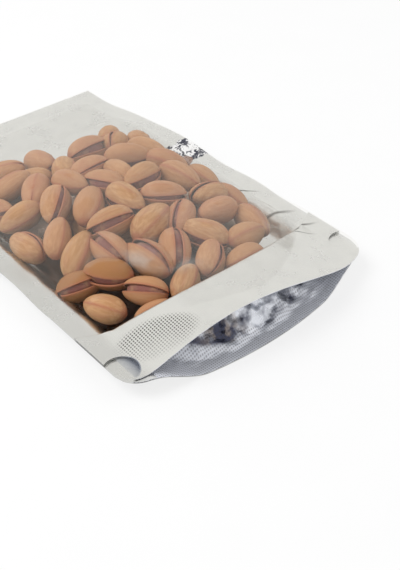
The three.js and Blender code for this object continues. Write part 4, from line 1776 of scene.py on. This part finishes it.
@dataclass(frozen=True)
class Studio:
    """White floor, soft studio light and the camera."""

    look_at: tuple[float, float, float] = (0.0, -61.5, 0.0)
    distance: float = 378.0
    pitch: float = 39.7
    yaw: float = 40.7
    lens: float = 58.2
    sky: float = 0.92
    key_power: float = 1.6
    glow: float = 0.72
    card_pitch: float = 14.0
    card_distance: float = 1.1
    card_size: tuple[float, float] = (1.7, 0.62)

    def ahead(self, pitch: float) -> Vector:
        """The viewing direction at a pitch in degrees under the horizon."""
        down, yaw = math.radians(pitch), math.radians(self.yaw)
        return Vector((math.sin(yaw) * math.cos(down), math.cos(yaw) * math.cos(down), -math.sin(down)))

    def seen(self, tree: Tree) -> Term:
        """1 for rays that end in the picture, straight, mirrored or through a film, and else 0.

        Args:
            tree: the tree of a material or of the world.

        Returns:
            The mask.
        """
        rays = tree.add("LightPath").outputs
        straight = tree.maths("MAXIMUM", rays["Is Camera Ray"], rays["Is Glossy Ray"])
        return tree.maths("MAXIMUM", straight, rays["Is Transmission Ray"])

    def camera(self) -> None:
        """The camera at the photograph's viewing angle."""
        ahead = self.ahead(self.pitch)
        data = bpy.data.cameras.new("camera")
        data.lens = self.lens
        data.sensor_width = data.sensor_height = 36.0
        data.sensor_fit = "AUTO"
        data.clip_start = 0.01
        camera = bpy.data.objects.new("camera", data)
        camera.location = (Vector(self.look_at) - ahead * self.distance) * MM
        camera.rotation_euler = ahead.to_track_quat("-Z", "Y").to_euler()
        bpy.context.collection.objects.link(camera)
        bpy.context.scene.camera = camera

    def floor(self) -> None:
        """A pale floor that keeps the pouch's soft shadow."""
        bpy.ops.object.select_all(action="DESELECT")
        bpy.ops.mesh.primitive_plane_add(size=8.0, location=(0, 0, -0.0002))
        plane = bpy.context.active_object
        plane.name = "floor"
        material, tree = new_material("floor_white")
        dust = tree.noise(tree.object_place(), 40.0, 2.0)
        matt = tree.add("BsdfDiffuse", Color=tree.blend(dust, (0.86, 0.86, 0.86, 1), (0.9, 0.9, 0.9, 1)))
        glow = tree.add("Emission", Color=(1.0, 1.0, 1.0, 1.0), Strength=1.0)
        tree.surface(tree.mixed(self.seen(tree) * self.glow, matt.outputs[0], glow.outputs[0]))
        plane.data.materials.append(material)

    def world(self) -> None:
        """An even white room, seen as white by the camera and in reflections."""
        world = bpy.data.worlds.new("studio")
        world.use_nodes = True
        tree = Tree(world.node_tree)
        strength = tree.ramp(self.seen(tree), 0.0, 1.0, self.sky * self.glow, 1.0)
        white = tree.add("Background", Color=(1.0, 1.0, 1.0, 1.0), Strength=strength)
        tree.row("OutputWorld", white.outputs[0])
        bpy.context.scene.world = world

    def lamp(self, name: str, place: tuple[float, float, float], size: float, power: float) -> None:
        """A soft square lamp that looks at the pouch.

        Args:
            name: its name.
            place: where it hangs, in metres.
            size: the length of its sides.
            power: its power in watts.
        """
        data = bpy.data.lights.new(name, "AREA")
        data.size = size
        data.energy = power
        lamp = bpy.data.objects.new(name, data)
        lamp.visible_glossy = False
        lamp.location = Vector(place)
        lamp.rotation_euler = (-Vector(place)).to_track_quat("-Z", "Y").to_euler()
        bpy.context.collection.objects.link(lamp)

    def dark_card(self) -> None:
        """A dark card behind the camera, which only reflections see."""
        bpy.ops.object.select_all(action="DESELECT")
        bpy.ops.mesh.primitive_plane_add(size=1.0)
        card = bpy.context.active_object
        card.name = "dark_card"
        ahead = self.ahead(self.card_pitch)
        turn = ahead.to_track_quat("Z", "Y").to_matrix().to_4x4()
        size = Matrix.Diagonal(self.card_size + (1.0, 1.0))
        card.data.transform(Matrix.Translation(-ahead * self.card_distance) @ turn @ size)
        material, tree = new_material("dark_cloth")
        weave = tree.noise(tree.object_place(), 300.0, 2.0)
        colour = tree.blend(weave, (0.012, 0.014, 0.028, 1), (0.02, 0.022, 0.04, 1))
        shader = tree.add("BsdfDiffuse", Color=colour)
        tree.surface(shader.outputs[0])
        card.data.materials.append(material)
        card.visible_camera = False
        card.visible_diffuse = False
        card.visible_shadow = False
        card.visible_transmission = False

    def build(self) -> None:
        """Sets the stage."""
        self.camera()
        self.floor()
        self.world()
        self.dark_card()
        self.lamp("key", (-0.55, 0.35, 0.85), 0.6, self.key_power * 4)
        self.lamp("fill", (0.7, -0.4, 0.7), 0.8, self.key_power)
        bpy.context.scene.view_settings.view_transform = "Standard"


def main() -> None:
    """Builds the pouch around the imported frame."""
    logging.basicConfig(level=logging.INFO, format="%(name)s %(message)s")
    shape = PouchShape()
    Studio().build()
    knurl = seal_knurl_group()
    mask = seal_mask_group(shape)
    # lines of painted shade along the creases in the foil
    shaded_crease_lines = (
        (40, -44, 60, -57, 1.3), (41, -62, 60, -70, 1.0), (34, -70, 54, -76, 0.6), (46, -22, 58, -36, 0.7))
    foil = FoilFinish("silver_foil", creases=shaded_crease_lines).build(knurl, mask)
    # colour of the painted reflection of the nuts and painted shade under them
    reflected_nut_brown = (0.30, 0.22, 0.17, 1.0)
    inner_foil = FoilFinish("inner_silver", painted_nut_reflection=reflected_nut_brown, creases=shaded_crease_lines).build(knurl, mask)
    # the gusset's dark navy patches are painted shade and painted reflection of dark surroundings, shifted
    # across the mouth by the shade shifts
    bluish = FoilFinish(
        "gusset_silver", (0.80, 0.82, 0.87, 1.0), (0.05, 0.055, 0.09, 1.0), 0.7, 0.24,
        band=(0.80, 0.82, 0.88, 1.0), band_metal=0.2, knurl_depth=0.3, dot_pitch=2.0, dot_shade=0.5,
        patch=0.53, patch_scale=120.0, tint_at=(-16.0, 14.0),
        shade_shifts=((-34.0, 14.0, -0.2), (-18.0, 11.0, -0.12), (-3.0, 9.0, 0.14), (28.0, 16.0, 0.06)))
    gusset_foil = bluish.build(knurl, mask)
    maker = PistachioMaker(ShellFinish().build(), KernelFinish().build())
    nuts = Filling(maker).build(shape)
    BackFoil(shape, foil, inner_foil).build()
    GussetFoil(shape, gusset_foil, foil).build()
    FrontFilm(shape, ClearFilmFinish().build(knurl, mask)).build(nuts)


if __name__ == "__main__":
    main()
